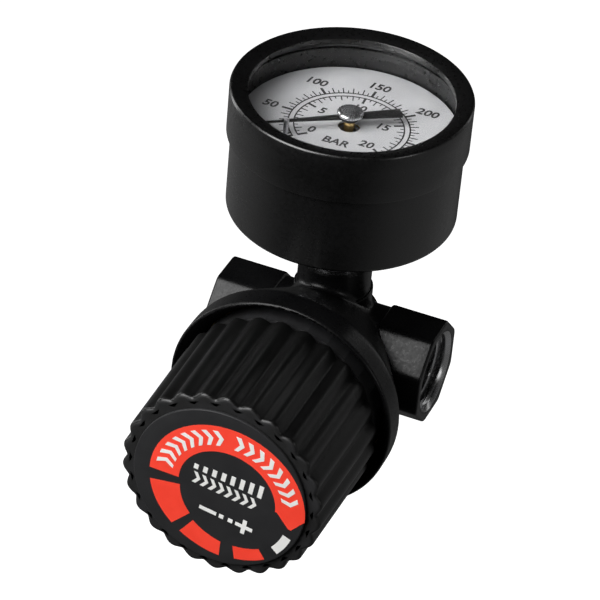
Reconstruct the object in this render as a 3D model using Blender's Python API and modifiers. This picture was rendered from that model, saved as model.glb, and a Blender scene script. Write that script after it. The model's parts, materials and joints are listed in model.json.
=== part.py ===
"""Compact in-line gas pressure regulator with a back-mounted pressure gauge.

Metres, +Z up. The origin is the centre of the inlet port's mouth. The ports lie along X, the gauge
stands up along +Z and the adjusting knob points along -Y, on an axis just above the ports'.
"Forward" below means towards the knob.
"""

from math import atan2, cos, degrees, pi, radians, sin

import bmesh
import bpy
from mathutils import Matrix, Vector

MM = 0.001

# ------------------------------------------------------------------ driving dimensions, in millimetres
GAP = 0.3                       # between pieces that touch

PORT_HALF_LENGTH = 20.0         # from the gauge axis to each port's face
PORT_ACROSS_FLATS = 17.46       # octagonal wrench flats
PORT_FLATS_START = 9.9          # where the flats end, from the gauge axis
THREAD_RADIUS = 6.85            # 1/4 inch taper pipe socket, at its mouth
THREAD_END_RADIUS = 6.45
THREAD_DEPTH = 12.5

PORT_DROP = 0.4                 # the port axis runs this far below the knob axis
HUB_RADIUS = 8.4                # round middle of the valve body, about the port axis
BELL_RADIUS = 20.3              # rim of the body's bell, about the knob axis
RIM_FRONT = 22.2                # forward of the gauge axis
CUP_RADIUS = 17.6
CUP_FLOOR = 15.0
CHAMBER_RADIUS = 14.2
CHAMBER_FLOOR = 11.0
VALVE_BORE_RADIUS = 5.2
BOSS_RADIUS = 6.7
BOSS_END = -8.6
SEAT_FACE = 3.4
SEAT_RADIUS = 3.3
SEAT_BORE_RADIUS = 2.0
SEAL_THICKNESS = 0.6
PLUG_FRONT = -6.4
PLUG_FLANGE_RADIUS = 6.1
PLUG_BACK = -9.8
PLUG_KEY_ACROSS_FLATS = 5.0     # hexagonal recess for a key
PLUG_KEY_DEPTH = 1.6
O_RING_PLACE = -7.5
FILTER_THICKNESS = 1.5

NECK_RADIUS = 6.45
NECK_TOP = 17.3
NECK_BORE_RADIUS = 4.9          # 1/8 inch taper pipe socket
NECK_BORE_FLOOR = 9.2

KNOB_RADIUS = 18.4              # over the ribs at its back; the front is slimmer
KNOB_FRONT_RADIUS = 18.0
KNOB_RIBS = 26
RIB_DEPTH = 0.85
KNOB_BACK = 23.2
KNOB_FACE = 46.7
LABEL_RADIUS = 15.4
LABEL_THICKNESS = 0.5
KNOB_CEILING = 42.2             # inside of the knob's front wall
POCKET_FLOOR = 43.9             # the knob screw's head sits on it

STEM_END = 12.9                 # forward end of the valve poppet's stem
PLATE_LOW = CUP_FLOOR + 1.0 + 2 * GAP
PLATE_HIGH = PLATE_LOW + 2.0
SPRING_WIRE = 0.75              # radius of the range spring's wire
SPRING_TURNS = 4
NUT_LOW = 32.4
NUT_HIGH = 36.0
NUT_ACROSS_FLATS = 19.0
SCREW_RADIUS = 3.3
SCREW_END = 26.0
DRIVE_ACROSS_FLATS = 6.0
WASHER = 0.6
KNOB_SCREW_RADIUS = 1.3
KNOB_SCREW_END = 38.6
BONNET_CEILING = 38.6
BONNET_TOP = 41.6

CASE_RADIUS = 19.75
CASE_BOTTOM = 27.5
CASE_WALL = 0.7
CASE_TOP = 46.8
CASE_BORE = 18.95
BEZEL_RADIUS = 20.5
BEZEL_BOTTOM = 42.0
BEZEL_TOP = 50.97
BEZEL_OPENING = 17.4
BEZEL_LIP_TOP = 50.25
DIAL_TOP = 43.3
DIAL_THICKNESS = 0.5
DIAL_HOLE = 1.9
LEDGE_RADIUS = 18.2             # the dial rests on this inner step of the case
LEDGE_TOP = DIAL_TOP - DIAL_THICKNESS - GAP
LENS_TOP = 49.1
LENS_THICKNESS = 1.1
CASE_SCREW_OFFSET = 8.0
STEM_RADIUS = 5.2               # of the gauge socket, where it passes into the case
COLLAR_RADIUS = 6.4             # of the gauge socket, between the neck and the case
SMALL_SCREW_RADIUS = 0.8
SMALL_HEAD_RADIUS = 1.6
SMALL_HEAD_HEIGHT = 1.1

POINTER_ANGLE = 216.0           # degrees on the dial, resting on the stop pin
POINTER_LOW = 45.0
POINTER_THICKNESS = 0.4
ARBOR_RADIUS = 0.8
STOP_PIN_RADIUS = 11.2          # place of the pin on the dial
STOP_PIN_LEAD = 4.7             # degrees past the pointer
BLOCK_LOW = 28.5                # the gauge socket's block inside the case
BLOCK_HIGH = 33.1
MOVEMENT_SCREW_END = 31.4
PILLAR_X = 5.2
PILLAR_Y = 3.4
PINION_TEETH = 8
SECTOR_TEETH = 64               # on the whole circle that the sector is cut from
GEAR_MODULE = 0.3
GEAR_LOW = 36.4
GEAR_HIGH = 37.6
BACK_PLATE_LOW = 33.4
FRONT_PLATE_LOW = 40.2
PLATE_THICKNESS = 0.8
TUBE_RADIUS = 15.0              # middle of the Bourdon tube's bend
TUBE_THICKNESS = 1.5
TUBE_START = 256.0
TUBE_END = -15.0
SECTOR_TAIL = 5.0
LINK_LOW = 38.0
LINK_PIN_RADIUS = 0.5
TIP_PIN = (15.0 * cos(radians(-20)), 15.0 * sin(radians(-20)))
SIDES = (("left", -1), ("right", 1))

CROSSING = Vector((PORT_HALF_LENGTH, 0, PORT_DROP))     # of the knob and gauge axes
ON_PORTS = (0, 0, -PORT_DROP)                           # a place on the port axis, from that crossing
FORWARD = Matrix.Rotation(radians(90), 4, "X")          # local +Z becomes -Y
RIGHTWARD = Matrix.Rotation(radians(90), 4, "Y")        # local +Z becomes +X
LEFTWARD = Matrix.Rotation(radians(-90), 4, "Y")        # local +Z becomes -X
UPRIGHT = Matrix.Identity(4)


# ------------------------------------------------------------------ scene and materials
def clear_scene():
    for obj in list(bpy.data.objects):
        bpy.data.objects.remove(obj, do_unlink=True)
    for collection in list(bpy.data.collections):
        bpy.data.collections.remove(collection)


def new_collection(name):
    collection = bpy.data.collections.new(name)
    bpy.context.scene.collection.children.link(collection)
    return collection


def finish_of(name, colour, roughness, metallic=0.0, alpha=1.0):
    material = bpy.data.materials.get(name)
    if material:
        return material
    material = bpy.data.materials.new(name)
    material.use_nodes = True
    shader = material.node_tree.nodes["Principled BSDF"]
    shader.inputs["Base Color"].default_value = (*colour, 1.0)
    shader.inputs["Roughness"].default_value = roughness
    shader.inputs["Metallic"].default_value = metallic
    shader.inputs["Alpha"].default_value = alpha
    material.diffuse_color = (*colour, alpha)
    return material


def black_paint():
    return finish_of("black_paint", (0.012, 0.012, 0.013), 0.35)


def black_plastic():
    return finish_of("black_plastic", (0.015, 0.015, 0.016), 0.45)


def brass():
    return finish_of("brass", (0.72, 0.5, 0.2), 0.3, 1.0)


def steel():
    return finish_of("steel", (0.6, 0.6, 0.62), 0.3, 1.0)


def rubber():
    return finish_of("rubber", (0.02, 0.02, 0.02), 0.8)


# ------------------------------------------------------------------ building blocks
def add(name, mesh, collection, turn=UPRIGHT, at=(0, 0, 0)):
    """A new object; `at` is in millimetres from where the knob and gauge axes cross."""
    obj = bpy.data.objects.new(name, mesh)
    collection.objects.link(obj)
    obj.matrix_world = Matrix.Translation((CROSSING + Vector(at)) * MM) @ turn
    return obj


def dress(obj, material):
    obj.data.materials.clear()
    obj.data.materials.append(material)
    return obj


def smooth(obj, angle=30):
    obj.data.shade_smooth()
    obj.data.set_sharp_from_angle(angle=radians(angle))
    return obj


def turned(name, profile, collection, turn=UPRIGHT, at=(0, 0, 0), steps=24):
    """A turned shape. The profile of (radius, height) runs down the outer side, in millimetres; a
    ring's profile goes back up its inner side, and a solid one starts and ends on the axis."""
    closed = profile[0][0] > 0
    mesh = bpy.data.meshes.new(name)
    count = len(profile)
    edges = [(i, i + 1) for i in range(count - 1)]
    if closed:
        edges.append((count - 1, 0))
    mesh.from_pydata([(r * MM, 0, z * MM) for r, z in profile], edges, [])
    obj = add(name, mesh, collection, turn, at)
    screw = obj.modifiers.new("turn", "SCREW")
    screw.axis = "Z"
    screw.angle = 2 * pi
    screw.steps = steps
    screw.render_steps = steps
    screw.use_merge_vertices = True
    screw.merge_threshold = 1e-5
    screw.use_smooth_shade = True
    return obj


def tube_profile(outer, inner, low, high, chamfer=0.0):
    """The profile of a tube, or of a solid cylinder where the inner radius is 0."""
    outside = [(outer, high), (outer, low)]
    if chamfer:
        inset = outer - chamfer
        outside = [(inset, high), (outer, high - chamfer), (outer, low + chamfer), (inset, low)]
    if inner > 0:
        return outside + [(inner, low), (inner, high)]
    return [(0, high)] + outside + [(0, low)]


def prism(name, sides, across_flats, low, high, collection, turn=UPRIGHT, at=(0, 0, 0)):
    """A regular prism along its local Z, with a flat facing its local +X."""
    mesh = bpy.data.meshes.new(name)
    shape = bmesh.new()
    radius = across_flats / 2 / cos(pi / sides) * MM
    bmesh.ops.create_cone(
        shape, cap_ends=True, segments=sides, radius1=radius, radius2=radius, depth=(high - low) * MM
    )
    bmesh.ops.rotate(shape, verts=shape.verts, matrix=Matrix.Rotation(pi / sides, 3, "Z"))
    bmesh.ops.translate(shape, verts=shape.verts, vec=(0, 0, (low + high) / 2 * MM))
    shape.to_mesh(mesh)
    shape.free()
    return add(name, mesh, collection, turn, at)


def block(name, size, centre, collection, turn=UPRIGHT, at=(0, 0, 0)):
    mesh = bpy.data.meshes.new(name)
    shape = bmesh.new()
    bmesh.ops.create_cube(shape, size=1.0)
    bmesh.ops.scale(shape, verts=shape.verts, vec=Vector(size) * MM)
    bmesh.ops.translate(shape, verts=shape.verts, vec=Vector(centre) * MM)
    shape.to_mesh(mesh)
    shape.free()
    return add(name, mesh, collection, turn, at)


def plate(name, outlines, low, high, collection, turn=UPRIGHT, at=(0, 0, 0)):
    """A flat piece between two heights. The first outline is its edge and the others are holes."""
    curve = bpy.data.curves.new(name, "CURVE")
    curve.dimensions = "2D"
    curve.fill_mode = "BOTH"
    curve.extrude = (high - low) / 2 * MM
    for outline in outlines:
        spline = curve.splines.new("POLY")
        spline.points.add(len(outline) - 1)
        for point, (x, y) in zip(spline.points, outline):
            point.co = (x * MM, y * MM, 0, 1)
        spline.use_cyclic_u = True
    obj = add(name, curve, collection, turn @ Matrix.Translation((0, 0, (low + high) / 2 * MM)), at)
    return as_mesh(obj)


def rod(name, points, radius, collection, turn=UPRIGHT, at=(0, 0, 0), cyclic=False):
    """A round wire through the given points."""
    curve = bpy.data.curves.new(name, "CURVE")
    curve.dimensions = "3D"
    curve.bevel_depth = radius * MM
    curve.bevel_resolution = 1
    curve.use_fill_caps = not cyclic
    spline = curve.splines.new("POLY")
    spline.points.add(len(points) - 1)
    for point, place in zip(spline.points, points):
        point.co = (*(Vector(place) * MM), 1)
    spline.use_cyclic_u = cyclic
    return as_mesh(add(name, curve, collection, turn, at))


def as_mesh(obj):
    """The same object as a mesh with its caps welded on."""
    bpy.context.view_layer.update()
    graph = bpy.context.evaluated_depsgraph_get()
    mesh = bpy.data.meshes.new_from_object(obj.evaluated_get(graph))
    place = obj.matrix_world.copy()
    name = obj.name
    collection = obj.users_collection[0]
    bpy.data.objects.remove(obj, do_unlink=True)
    shape = bmesh.new()
    shape.from_mesh(mesh)
    bmesh.ops.remove_doubles(shape, verts=shape.verts, dist=1e-6)
    bmesh.ops.recalc_face_normals(shape, faces=shape.faces)
    shape.to_mesh(mesh)
    shape.free()
    mesh.name = name
    made = bpy.data.objects.new(name, mesh)
    collection.objects.link(made)
    made.matrix_world = place
    return made


def combine(obj, operation, other):
    modifier = obj.modifiers.new(operation.lower(), "BOOLEAN")
    modifier.operation = operation
    modifier.solver = "EXACT"
    modifier.object = other
    other.hide_render = True
    other.display_type = "WIRE"
    return obj


def cut(obj, *others):
    for other in others:
        combine(obj, "DIFFERENCE", other)
    return obj


def join(obj, *others):
    for other in others:
        combine(obj, "UNION", other)
    return obj


def bevel(obj, width, segments=2, angle=40):
    modifier = obj.modifiers.new("edges", "BEVEL")
    modifier.width = width * MM
    modifier.segments = segments
    modifier.limit_method = "ANGLE"
    modifier.angle_limit = radians(angle)
    return obj


def arc(radius, start, end, count, centre=(0, 0)):
    """Points of an arc, from start to end in degrees, both ends included."""
    turns = [radians(start + (end - start) * i / (count - 1)) for i in range(count)]
    return [(centre[0] + radius * cos(a), centre[1] + radius * sin(a)) for a in turns]


def circle(radius, count, centre=(0, 0)):
    return arc(radius, 0, 360 * (count - 1) / count, count, centre)


def rounded_box(width, height, corner, centre=(0, 0), count=4):
    points = []
    for start, sx, sy in ((0, 1, 1), (90, -1, 1), (180, -1, -1), (270, 1, -1)):
        middle = (centre[0] + sx * (width / 2 - corner), centre[1] + sy * (height / 2 - corner))
        points += arc(corner, start, start + 90, count, middle)
    return points


def stadium(start, end, radius, count=7):
    """The outline of a bar with round ends, from one centre to the other."""
    direction = degrees(atan2(end[1] - start[1], end[0] - start[0]))
    return arc(radius, direction + 90, direction + 270, count, start) + arc(
        radius, direction - 90, direction + 90, count, end
    )


def coil_points(radius, low, high, turns, per_turn=12):
    """A compression coil along Z whose end turns lie flat, nearly touching their neighbours."""
    count = int(turns * per_turn)
    points = []
    for i in range(count + 1):
        share = i / count
        eased = share - sin(2 * pi * share) * 0.05
        a = 2 * pi * turns * share
        points.append((radius * cos(a), radius * sin(a), low + (high - low) * eased))
    return points


# ------------------------------------------------------------------ valve body
def bell_profile():
    """Outer side of the body about the knob axis: rear boss, waist, conical bell and rim, front first."""
    waist_end, bell_start, rim_back, cone_end = -6.0, -2.0, 17.6, 9.3
    points = [(0, RIM_FRONT), (BELL_RADIUS - 0.9, RIM_FRONT), (BELL_RADIUS - 0.3, RIM_FRONT - 0.25)]
    points += [(BELL_RADIUS, RIM_FRONT - 0.8), (BELL_RADIUS, rim_back + 1.0), (BELL_RADIUS - 0.25, rim_back - 0.3)]
    points.append((cone_end, bell_start))
    points += [(BOSS_RADIUS, waist_end), (BOSS_RADIUS, BOSS_END + 0.8), (BOSS_RADIUS - 0.8, BOSS_END)]
    points.append((0, BOSS_END))
    return points


def make_body(parts, cutters):
    body = turned("body", bell_profile(), parts, FORWARD, steps=40)
    hub = turned("hub_form", tube_profile(HUB_RADIUS, 0, -10.5, 10.5), cutters, RIGHTWARD, ON_PORTS)
    join(body, hub)
    for side, low, high in (
        ("left", -PORT_HALF_LENGTH, -PORT_FLATS_START),
        ("right", PORT_FLATS_START, PORT_HALF_LENGTH),
    ):
        port = prism(f"port_form_{side}", 8, PORT_ACROSS_FLATS, low, high, cutters, RIGHTWARD, ON_PORTS)
        bevel(port, 0.35, segments=1)
        join(body, port)
    neck = [(0, NECK_TOP), (NECK_RADIUS - 0.6, NECK_TOP), (NECK_RADIUS, NECK_TOP - 0.6)]
    neck += [(NECK_RADIUS, 11.9), (NECK_RADIUS + 0.5, 10.5), (NECK_RADIUS + 1.4, 9.5)]
    neck += [(NECK_RADIUS + 1.6, 5.0), (0, 5.0)]
    join(body, turned("neck_form", neck, cutters, steps=24))

    cup = [(0, RIM_FRONT + 1), (CUP_RADIUS, RIM_FRONT + 1), (CUP_RADIUS, CUP_FLOOR)]
    cup += [(CHAMBER_RADIUS, CUP_FLOOR), (CHAMBER_RADIUS, CHAMBER_FLOOR), (0, CHAMBER_FLOOR)]
    cut(body, turned("cup_cut", cup, cutters, FORWARD, steps=32))
    valve = [(0, CHAMBER_FLOOR + 1), (SEAT_RADIUS + GAP, CHAMBER_FLOOR + 1)]
    valve += [(SEAT_RADIUS + GAP, SEAT_FACE), (VALVE_BORE_RADIUS, SEAT_FACE)]
    valve += [(VALVE_BORE_RADIUS, BOSS_END - 1), (0, BOSS_END - 1)]
    cut(body, turned("valve_cut", valve, cutters, FORWARD, steps=16))
    floor = PORT_HALF_LENGTH - THREAD_DEPTH
    socket = [(0, PORT_HALF_LENGTH + 1), (THREAD_RADIUS + 1.6, PORT_HALF_LENGTH + 1)]
    socket += [(THREAD_RADIUS, PORT_HALF_LENGTH - 0.6), (THREAD_END_RADIUS, floor), (0, floor)]
    cut(body, turned("inlet_socket_cut", socket, cutters, LEFTWARD, ON_PORTS))
    cut(body, turned("outlet_socket_cut", socket, cutters, RIGHTWARD, ON_PORTS))
    inlet_way = tube_profile(3.2, 0, 1.0, floor + 1)
    cut(body, turned("inlet_way_cut", inlet_way, cutters, LEFTWARD, ON_PORTS, steps=16))
    outlet_way = tube_profile(2.0, 0, 3.0, CHAMBER_FLOOR + 1)
    cut(body, turned("outlet_way_cut", outlet_way, cutters, FORWARD, (10.6, 0, 0), steps=12))
    neck_bore = [(0, NECK_TOP + 1), (NECK_BORE_RADIUS, NECK_TOP + 1), (NECK_BORE_RADIUS, NECK_BORE_FLOOR)]
    neck_bore.append((0, NECK_BORE_FLOOR))
    cut(body, turned("neck_cut", neck_bore, cutters, steps=16))
    gauge_way = tube_profile(1.3, 0, 2.0, CHAMBER_FLOOR + 1)
    cut(body, turned("gauge_way_cut", gauge_way, cutters, FORWARD, (0, 0, 11.6), steps=12))
    smooth(body)
    return dress(body, black_paint())


# ------------------------------------------------------------------ valve, at the rear of the body
def make_valve(parts):
    nose = SEAT_FACE - 1.4
    seat = [(SEAT_RADIUS, CHAMBER_FLOOR - 1), (SEAT_RADIUS, nose + 0.8), (SEAT_RADIUS - 0.7, nose)]
    seat += [(SEAT_BORE_RADIUS, nose), (SEAT_BORE_RADIUS, CHAMBER_FLOOR - 1)]
    dress(turned("valve_seat", seat, parts, FORWARD, steps=20), brass())

    head_front = nose - 2 * GAP - SEAL_THICKNESS
    head_back = head_front - 2.2
    stem, head, guide = 1.1, 3.9, 2.0
    poppet = [(0, STEM_END), (stem, STEM_END), (stem, head_front), (head, head_front), (head, head_back)]
    poppet += [(guide, head_back), (guide, head_back - 2), (0, head_back - 2)]
    dress(turned("valve_poppet", poppet, parts, FORWARD, steps=20), brass())
    seal = tube_profile(head - GAP, stem + GAP, head_front + GAP, nose - GAP)
    dress(turned("poppet_seal", seal, parts, FORWARD, steps=20), rubber())

    wire = 0.35
    coil = coil_points(3.1, PLUG_FRONT + GAP + wire, head_back - GAP - wire, 3, per_turn=12)
    dress(smooth(rod("valve_spring", coil, wire, parts, FORWARD)), steel())


def make_bottom_plug(parts, cutters):
    plug = tube_profile(VALVE_BORE_RADIUS - GAP, 0, BOSS_END - 0.6, PLUG_FRONT, 0.3)
    plug = turned("bottom_plug", plug, parts, FORWARD, steps=24)
    flange = tube_profile(PLUG_FLANGE_RADIUS, 0, PLUG_BACK, BOSS_END - GAP, 0.2)
    join(plug, turned("plug_flange_form", flange, cutters, FORWARD))
    key_floor = PLUG_BACK + PLUG_KEY_DEPTH
    cut(plug, prism("key_cut", 6, PLUG_KEY_ACROSS_FLATS, PLUG_BACK - 1, key_floor, cutters, FORWARD))
    groove = tube_profile(6.0, 4.0, O_RING_PLACE - 0.6, O_RING_PLACE + 0.6)
    cut(plug, turned("plug_groove_cut", groove, cutters, FORWARD))
    dress(plug, brass())
    ring = [(x, y, O_RING_PLACE) for x, y in circle(4.5, 16)]
    dress(smooth(rod("plug_o_ring", ring, 0.35, parts, FORWARD, cyclic=True)), rubber())


def make_inlet_filter(parts):
    floor = PORT_HALF_LENGTH - THREAD_DEPTH
    screen = tube_profile(5.9, 0, floor + 0.6, floor + 0.6 + FILTER_THICKNESS, 0.3)
    dress(turned("inlet_filter", screen, parts, LEFTWARD, ON_PORTS, steps=20), brass())


# ------------------------------------------------------------------ diaphragm and spring
def make_diaphragm(parts):
    low = CUP_FLOOR + GAP
    edge = CUP_RADIUS - GAP
    fold = [(edge, low + 1.0), (edge, low), (13.8, low), (12.6, low - 0.7), (10.4, low), (2.1, low)]
    fold += [(2.1, low + 1.0), (10.2, low + 1.0), (12.6, low + 0.2), (13.9, low + 1.0)]
    dress(turned("diaphragm", fold, parts, FORWARD, steps=24), rubber())
    disc = [(0, PLATE_LOW + 3.2), (1.7, PLATE_LOW + 3.2), (1.7, PLATE_LOW + 1.2), (5.6, PLATE_LOW + 1.2)]
    disc += [(5.6, PLATE_HIGH), (9.2, PLATE_HIGH), (9.2, PLATE_LOW), (1.7, PLATE_LOW)]
    disc += [(1.7, STEM_END + GAP), (0, STEM_END + GAP)]
    dress(turned("diaphragm_plate", disc, parts, FORWARD, steps=20), steel())
    button = tube_profile(5.2, 2.0, STEM_END + 2 * GAP, low - GAP)
    dress(turned("diaphragm_button", button, parts, FORWARD, steps=16), brass())
    ring = tube_profile(edge, 13.9, PLATE_LOW, PLATE_LOW + 1.0)
    dress(turned("clamp_ring", ring, parts, FORWARD, steps=24), brass())


def make_spring_and_nut(parts, cutters):
    ends = GAP + SPRING_WIRE
    coil = coil_points(7.4, PLATE_HIGH + ends, NUT_LOW - ends, SPRING_TURNS)
    dress(smooth(rod("range_spring", coil, SPRING_WIRE, parts, FORWARD)), steel())
    nut = prism("spring_nut", 6, NUT_ACROSS_FLATS, NUT_LOW, NUT_HIGH, parts, FORWARD)
    bevel(nut, 0.3, segments=1)
    thread = tube_profile(SCREW_RADIUS + GAP, 0, NUT_LOW - 1, NUT_HIGH + 1)
    cut(nut, turned("nut_thread_cut", thread, cutters, FORWARD, steps=20))
    dress(nut, brass())


# ------------------------------------------------------------------ bonnet, adjusting screw and knob
def make_bonnet(parts, cutters):
    low = PLATE_LOW + 1.0 + GAP
    edge = CUP_RADIUS - GAP
    outside = [(0, BONNET_TOP), (12.6, BONNET_TOP), (13.6, BONNET_TOP - 0.4), (14.0, BONNET_TOP - 1.4)]
    outside += [(14.0, 22.8), (edge, 22.2), (edge, low), (0, low)]
    bonnet = turned("bonnet", outside, parts, FORWARD, steps=28)
    flats = NUT_ACROSS_FLATS + 2 * GAP
    guide = prism("guide_cut", 6, flats, low - 1, BONNET_CEILING, cutters, FORWARD)
    hole = tube_profile(SCREW_RADIUS + GAP + 0.3, 0, BONNET_CEILING - 1, BONNET_TOP + 1)
    cut(bonnet, guide, turned("bonnet_hole_cut", hole, cutters, FORWARD, steps=20))
    dress(smooth(bonnet), black_plastic())


def make_adjusting_screw(parts, cutters):
    collar_low = NUT_HIGH + GAP
    collar_high = BONNET_CEILING - 2 * GAP - WASHER
    neck = SCREW_RADIUS + 0.3
    profile = [(0, BONNET_TOP + 0.2), (neck, BONNET_TOP + 0.2), (neck, collar_high), (6.0, collar_high)]
    profile += [(6.0, collar_low), (SCREW_RADIUS, collar_low), (SCREW_RADIUS, SCREW_END + 0.5)]
    profile += [(SCREW_RADIUS - 0.5, SCREW_END), (0, SCREW_END)]
    screw = turned("adjusting_screw", profile, parts, FORWARD, steps=20)
    drive_end = POCKET_FLOOR - GAP
    drive = prism("drive_form", 6, DRIVE_ACROSS_FLATS, BONNET_TOP - 1, drive_end, cutters, FORWARD)
    hole = tube_profile(KNOB_SCREW_RADIUS + GAP, 0, KNOB_SCREW_END - 0.6, POCKET_FLOOR)
    join(screw, drive)
    cut(screw, turned("drive_hole_cut", hole, cutters, FORWARD, steps=12))
    dress(screw, steel())
    washer = tube_profile(7.2, neck + GAP, collar_high + GAP, collar_high + GAP + WASHER)
    dress(turned("thrust_washer", washer, parts, FORWARD, steps=16), brass())


def make_knob_screw(parts, cutters):
    top, edge, under = POCKET_FLOOR + 1.6, POCKET_FLOOR + 0.9, POCKET_FLOOR + GAP
    head = [(0, top), (3.4, top), (4.6, edge), (4.6, under), (KNOB_SCREW_RADIUS, under)]
    head += [(KNOB_SCREW_RADIUS, KNOB_SCREW_END), (0, KNOB_SCREW_END)]
    screw = turned("knob_screw", head, parts, FORWARD, steps=20)
    cut(screw, block("slot_cut", (7.5, 0.9, 1.2), (0, 0, top), cutters, FORWARD))
    dress(screw, steel())


def scalloped_outline(radius):
    """The knob's section: rounded ribs that meet in narrow valleys."""
    per_rib = 5
    count = KNOB_RIBS * per_rib
    points = []
    for i in range(count):
        a = 2 * pi * i / count
        bulge = abs(sin(KNOB_RIBS / 2 * a)) ** 0.8
        r = radius - RIB_DEPTH * (1 - bulge)
        points.append((r * cos(a), r * sin(a)))
    return points


def knob_form(parts):
    """The solid outer form: its ribs taper a little, and a chamfer runs round the front."""
    rows = []
    back, front = KNOB_RADIUS, KNOB_FRONT_RADIUS
    for radius, height in ((back - 0.5, KNOB_BACK), (back, KNOB_BACK + 0.5), (front, KNOB_FACE - 1.0), (front - 1.0, KNOB_FACE)):
        rows.append([(x * MM, y * MM, height * MM) for x, y in scalloped_outline(radius)])
    count = len(rows[0])
    points = [point for row in rows for point in row]
    faces = []
    for k in range(len(rows) - 1):
        for i in range(count):
            j = (i + 1) % count
            faces.append((k * count + i, k * count + j, (k + 1) * count + j, (k + 1) * count + i))
    faces.append(tuple(reversed(range(count))))
    faces.append(tuple((len(rows) - 1) * count + i for i in range(count)))
    mesh = bpy.data.meshes.new("knob")
    mesh.from_pydata(points, [], faces)
    return add("knob", mesh, parts, FORWARD)


def make_knob(parts, cutters):
    knob = knob_form(parts)
    hollow = [(0, KNOB_CEILING), (14.8, KNOB_CEILING), (16.2, KNOB_CEILING - 1.4), (16.2, KNOB_BACK + 1.0)]
    hollow += [(16.8, KNOB_BACK - 1), (0, KNOB_BACK - 1)]
    cut(knob, turned("knob_hollow_cut", hollow, cutters, FORWARD, steps=32))
    pocket = tube_profile(5.2, 0, POCKET_FLOOR, KNOB_FACE + 1)
    cut(knob, turned("knob_pocket_cut", pocket, cutters, FORWARD, steps=24))
    drive = DRIVE_ACROSS_FLATS + 2 * GAP
    cut(knob, prism("knob_drive_cut", 6, drive, KNOB_CEILING - 1, POCKET_FLOOR + 1, cutters, FORWARD))
    dress(smooth(knob, 50), black_plastic())
    label = tube_profile(LABEL_RADIUS, 0, KNOB_FACE + GAP, KNOB_FACE + GAP + LABEL_THICKNESS)
    label = turned("knob_label", label, parts, FORWARD, steps=40)
    dress(smooth(label), finish_of("label_print", (0.03, 0.03, 0.03), 0.4))


# ------------------------------------------------------------------ gauge: case, dial and pointer
def make_gauge_case(parts, cutters):
    corner = arc(1.0, 0, -90, 4, (CASE_RADIUS - 1.0, CASE_BOTTOM + 1.0))
    floor = CASE_BOTTOM + CASE_WALL
    stem_hole = STEM_RADIUS + GAP
    profile = [(CASE_RADIUS, CASE_TOP)] + corner + [(stem_hole, CASE_BOTTOM), (stem_hole, floor)]
    profile += [(LEDGE_RADIUS - 1.4, floor), (LEDGE_RADIUS, floor + 1.4), (LEDGE_RADIUS, LEDGE_TOP)]
    profile += [(CASE_BORE, LEDGE_TOP), (CASE_BORE, CASE_TOP)]
    case = turned("gauge_case", profile, parts, steps=40)
    hole = tube_profile(SMALL_SCREW_RADIUS + GAP, 0, CASE_BOTTOM - 1, floor + 1)
    for side, sign in SIDES:
        at = (sign * CASE_SCREW_OFFSET, 0, 0)
        cut(case, turned(f"case_hole_cut_{side}", hole, cutters, at=at, steps=12))
    dress(smooth(case), black_paint())
    bezel = [(BEZEL_OPENING, BEZEL_LIP_TOP), (20.05, BEZEL_TOP), (20.35, BEZEL_TOP - 0.15)]
    bezel += [(BEZEL_RADIUS, BEZEL_TOP - 0.45), (BEZEL_RADIUS, BEZEL_BOTTOM + 0.3), (20.3, BEZEL_BOTTOM)]
    inside = CASE_RADIUS + GAP
    bezel += [(inside, BEZEL_BOTTOM), (inside, LENS_TOP + GAP), (BEZEL_OPENING, LENS_TOP + GAP)]
    dress(smooth(turned("gauge_bezel", bezel, parts, steps=40)), black_paint())
    gasket = tube_profile(19.5, CASE_BORE, CASE_TOP + GAP, LENS_TOP - LENS_THICKNESS - GAP)
    dress(turned("lens_gasket", gasket, parts, steps=32), rubber())
    lens = tube_profile(19.5, 0, LENS_TOP - LENS_THICKNESS, LENS_TOP)
    dress(turned("gauge_lens", lens, parts, steps=32), finish_of("lens", (1, 1, 1), 0.02, alpha=0.1))
    under = CASE_BOTTOM - GAP
    screw = [(0, under + 4.0), (SMALL_SCREW_RADIUS, under + 4.0), (SMALL_SCREW_RADIUS, under)]
    screw += [(SMALL_HEAD_RADIUS, under), (SMALL_HEAD_RADIUS, under - 0.7)]
    screw += [(SMALL_HEAD_RADIUS - 0.4, under - SMALL_HEAD_HEIGHT), (0, under - SMALL_HEAD_HEIGHT)]
    for side, sign in SIDES:
        at = (sign * CASE_SCREW_OFFSET, 0, 0)
        dress(turned(f"case_screw_{side}", screw, parts, at=at, steps=14), steel())


def make_dial(parts):
    low = DIAL_TOP - DIAL_THICKNESS
    pin_turn = radians(POINTER_ANGLE + STOP_PIN_LEAD)
    spot = (STOP_PIN_RADIUS * cos(pin_turn), STOP_PIN_RADIUS * sin(pin_turn))
    outlines = [circle(CASE_BORE - GAP, 40), circle(DIAL_HOLE, 20), circle(0.75, 10, spot)]
    dial = plate("dial", outlines, low, DIAL_TOP, parts)
    dress(dial, finish_of("dial_enamel", (0.75, 0.75, 0.75), 0.5))
    pin = turned("stop_pin", tube_profile(0.45, 0, low - 0.2, 46.2, 0.15), parts, at=(*spot, 0), steps=12)
    dress(pin, steel())


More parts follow.
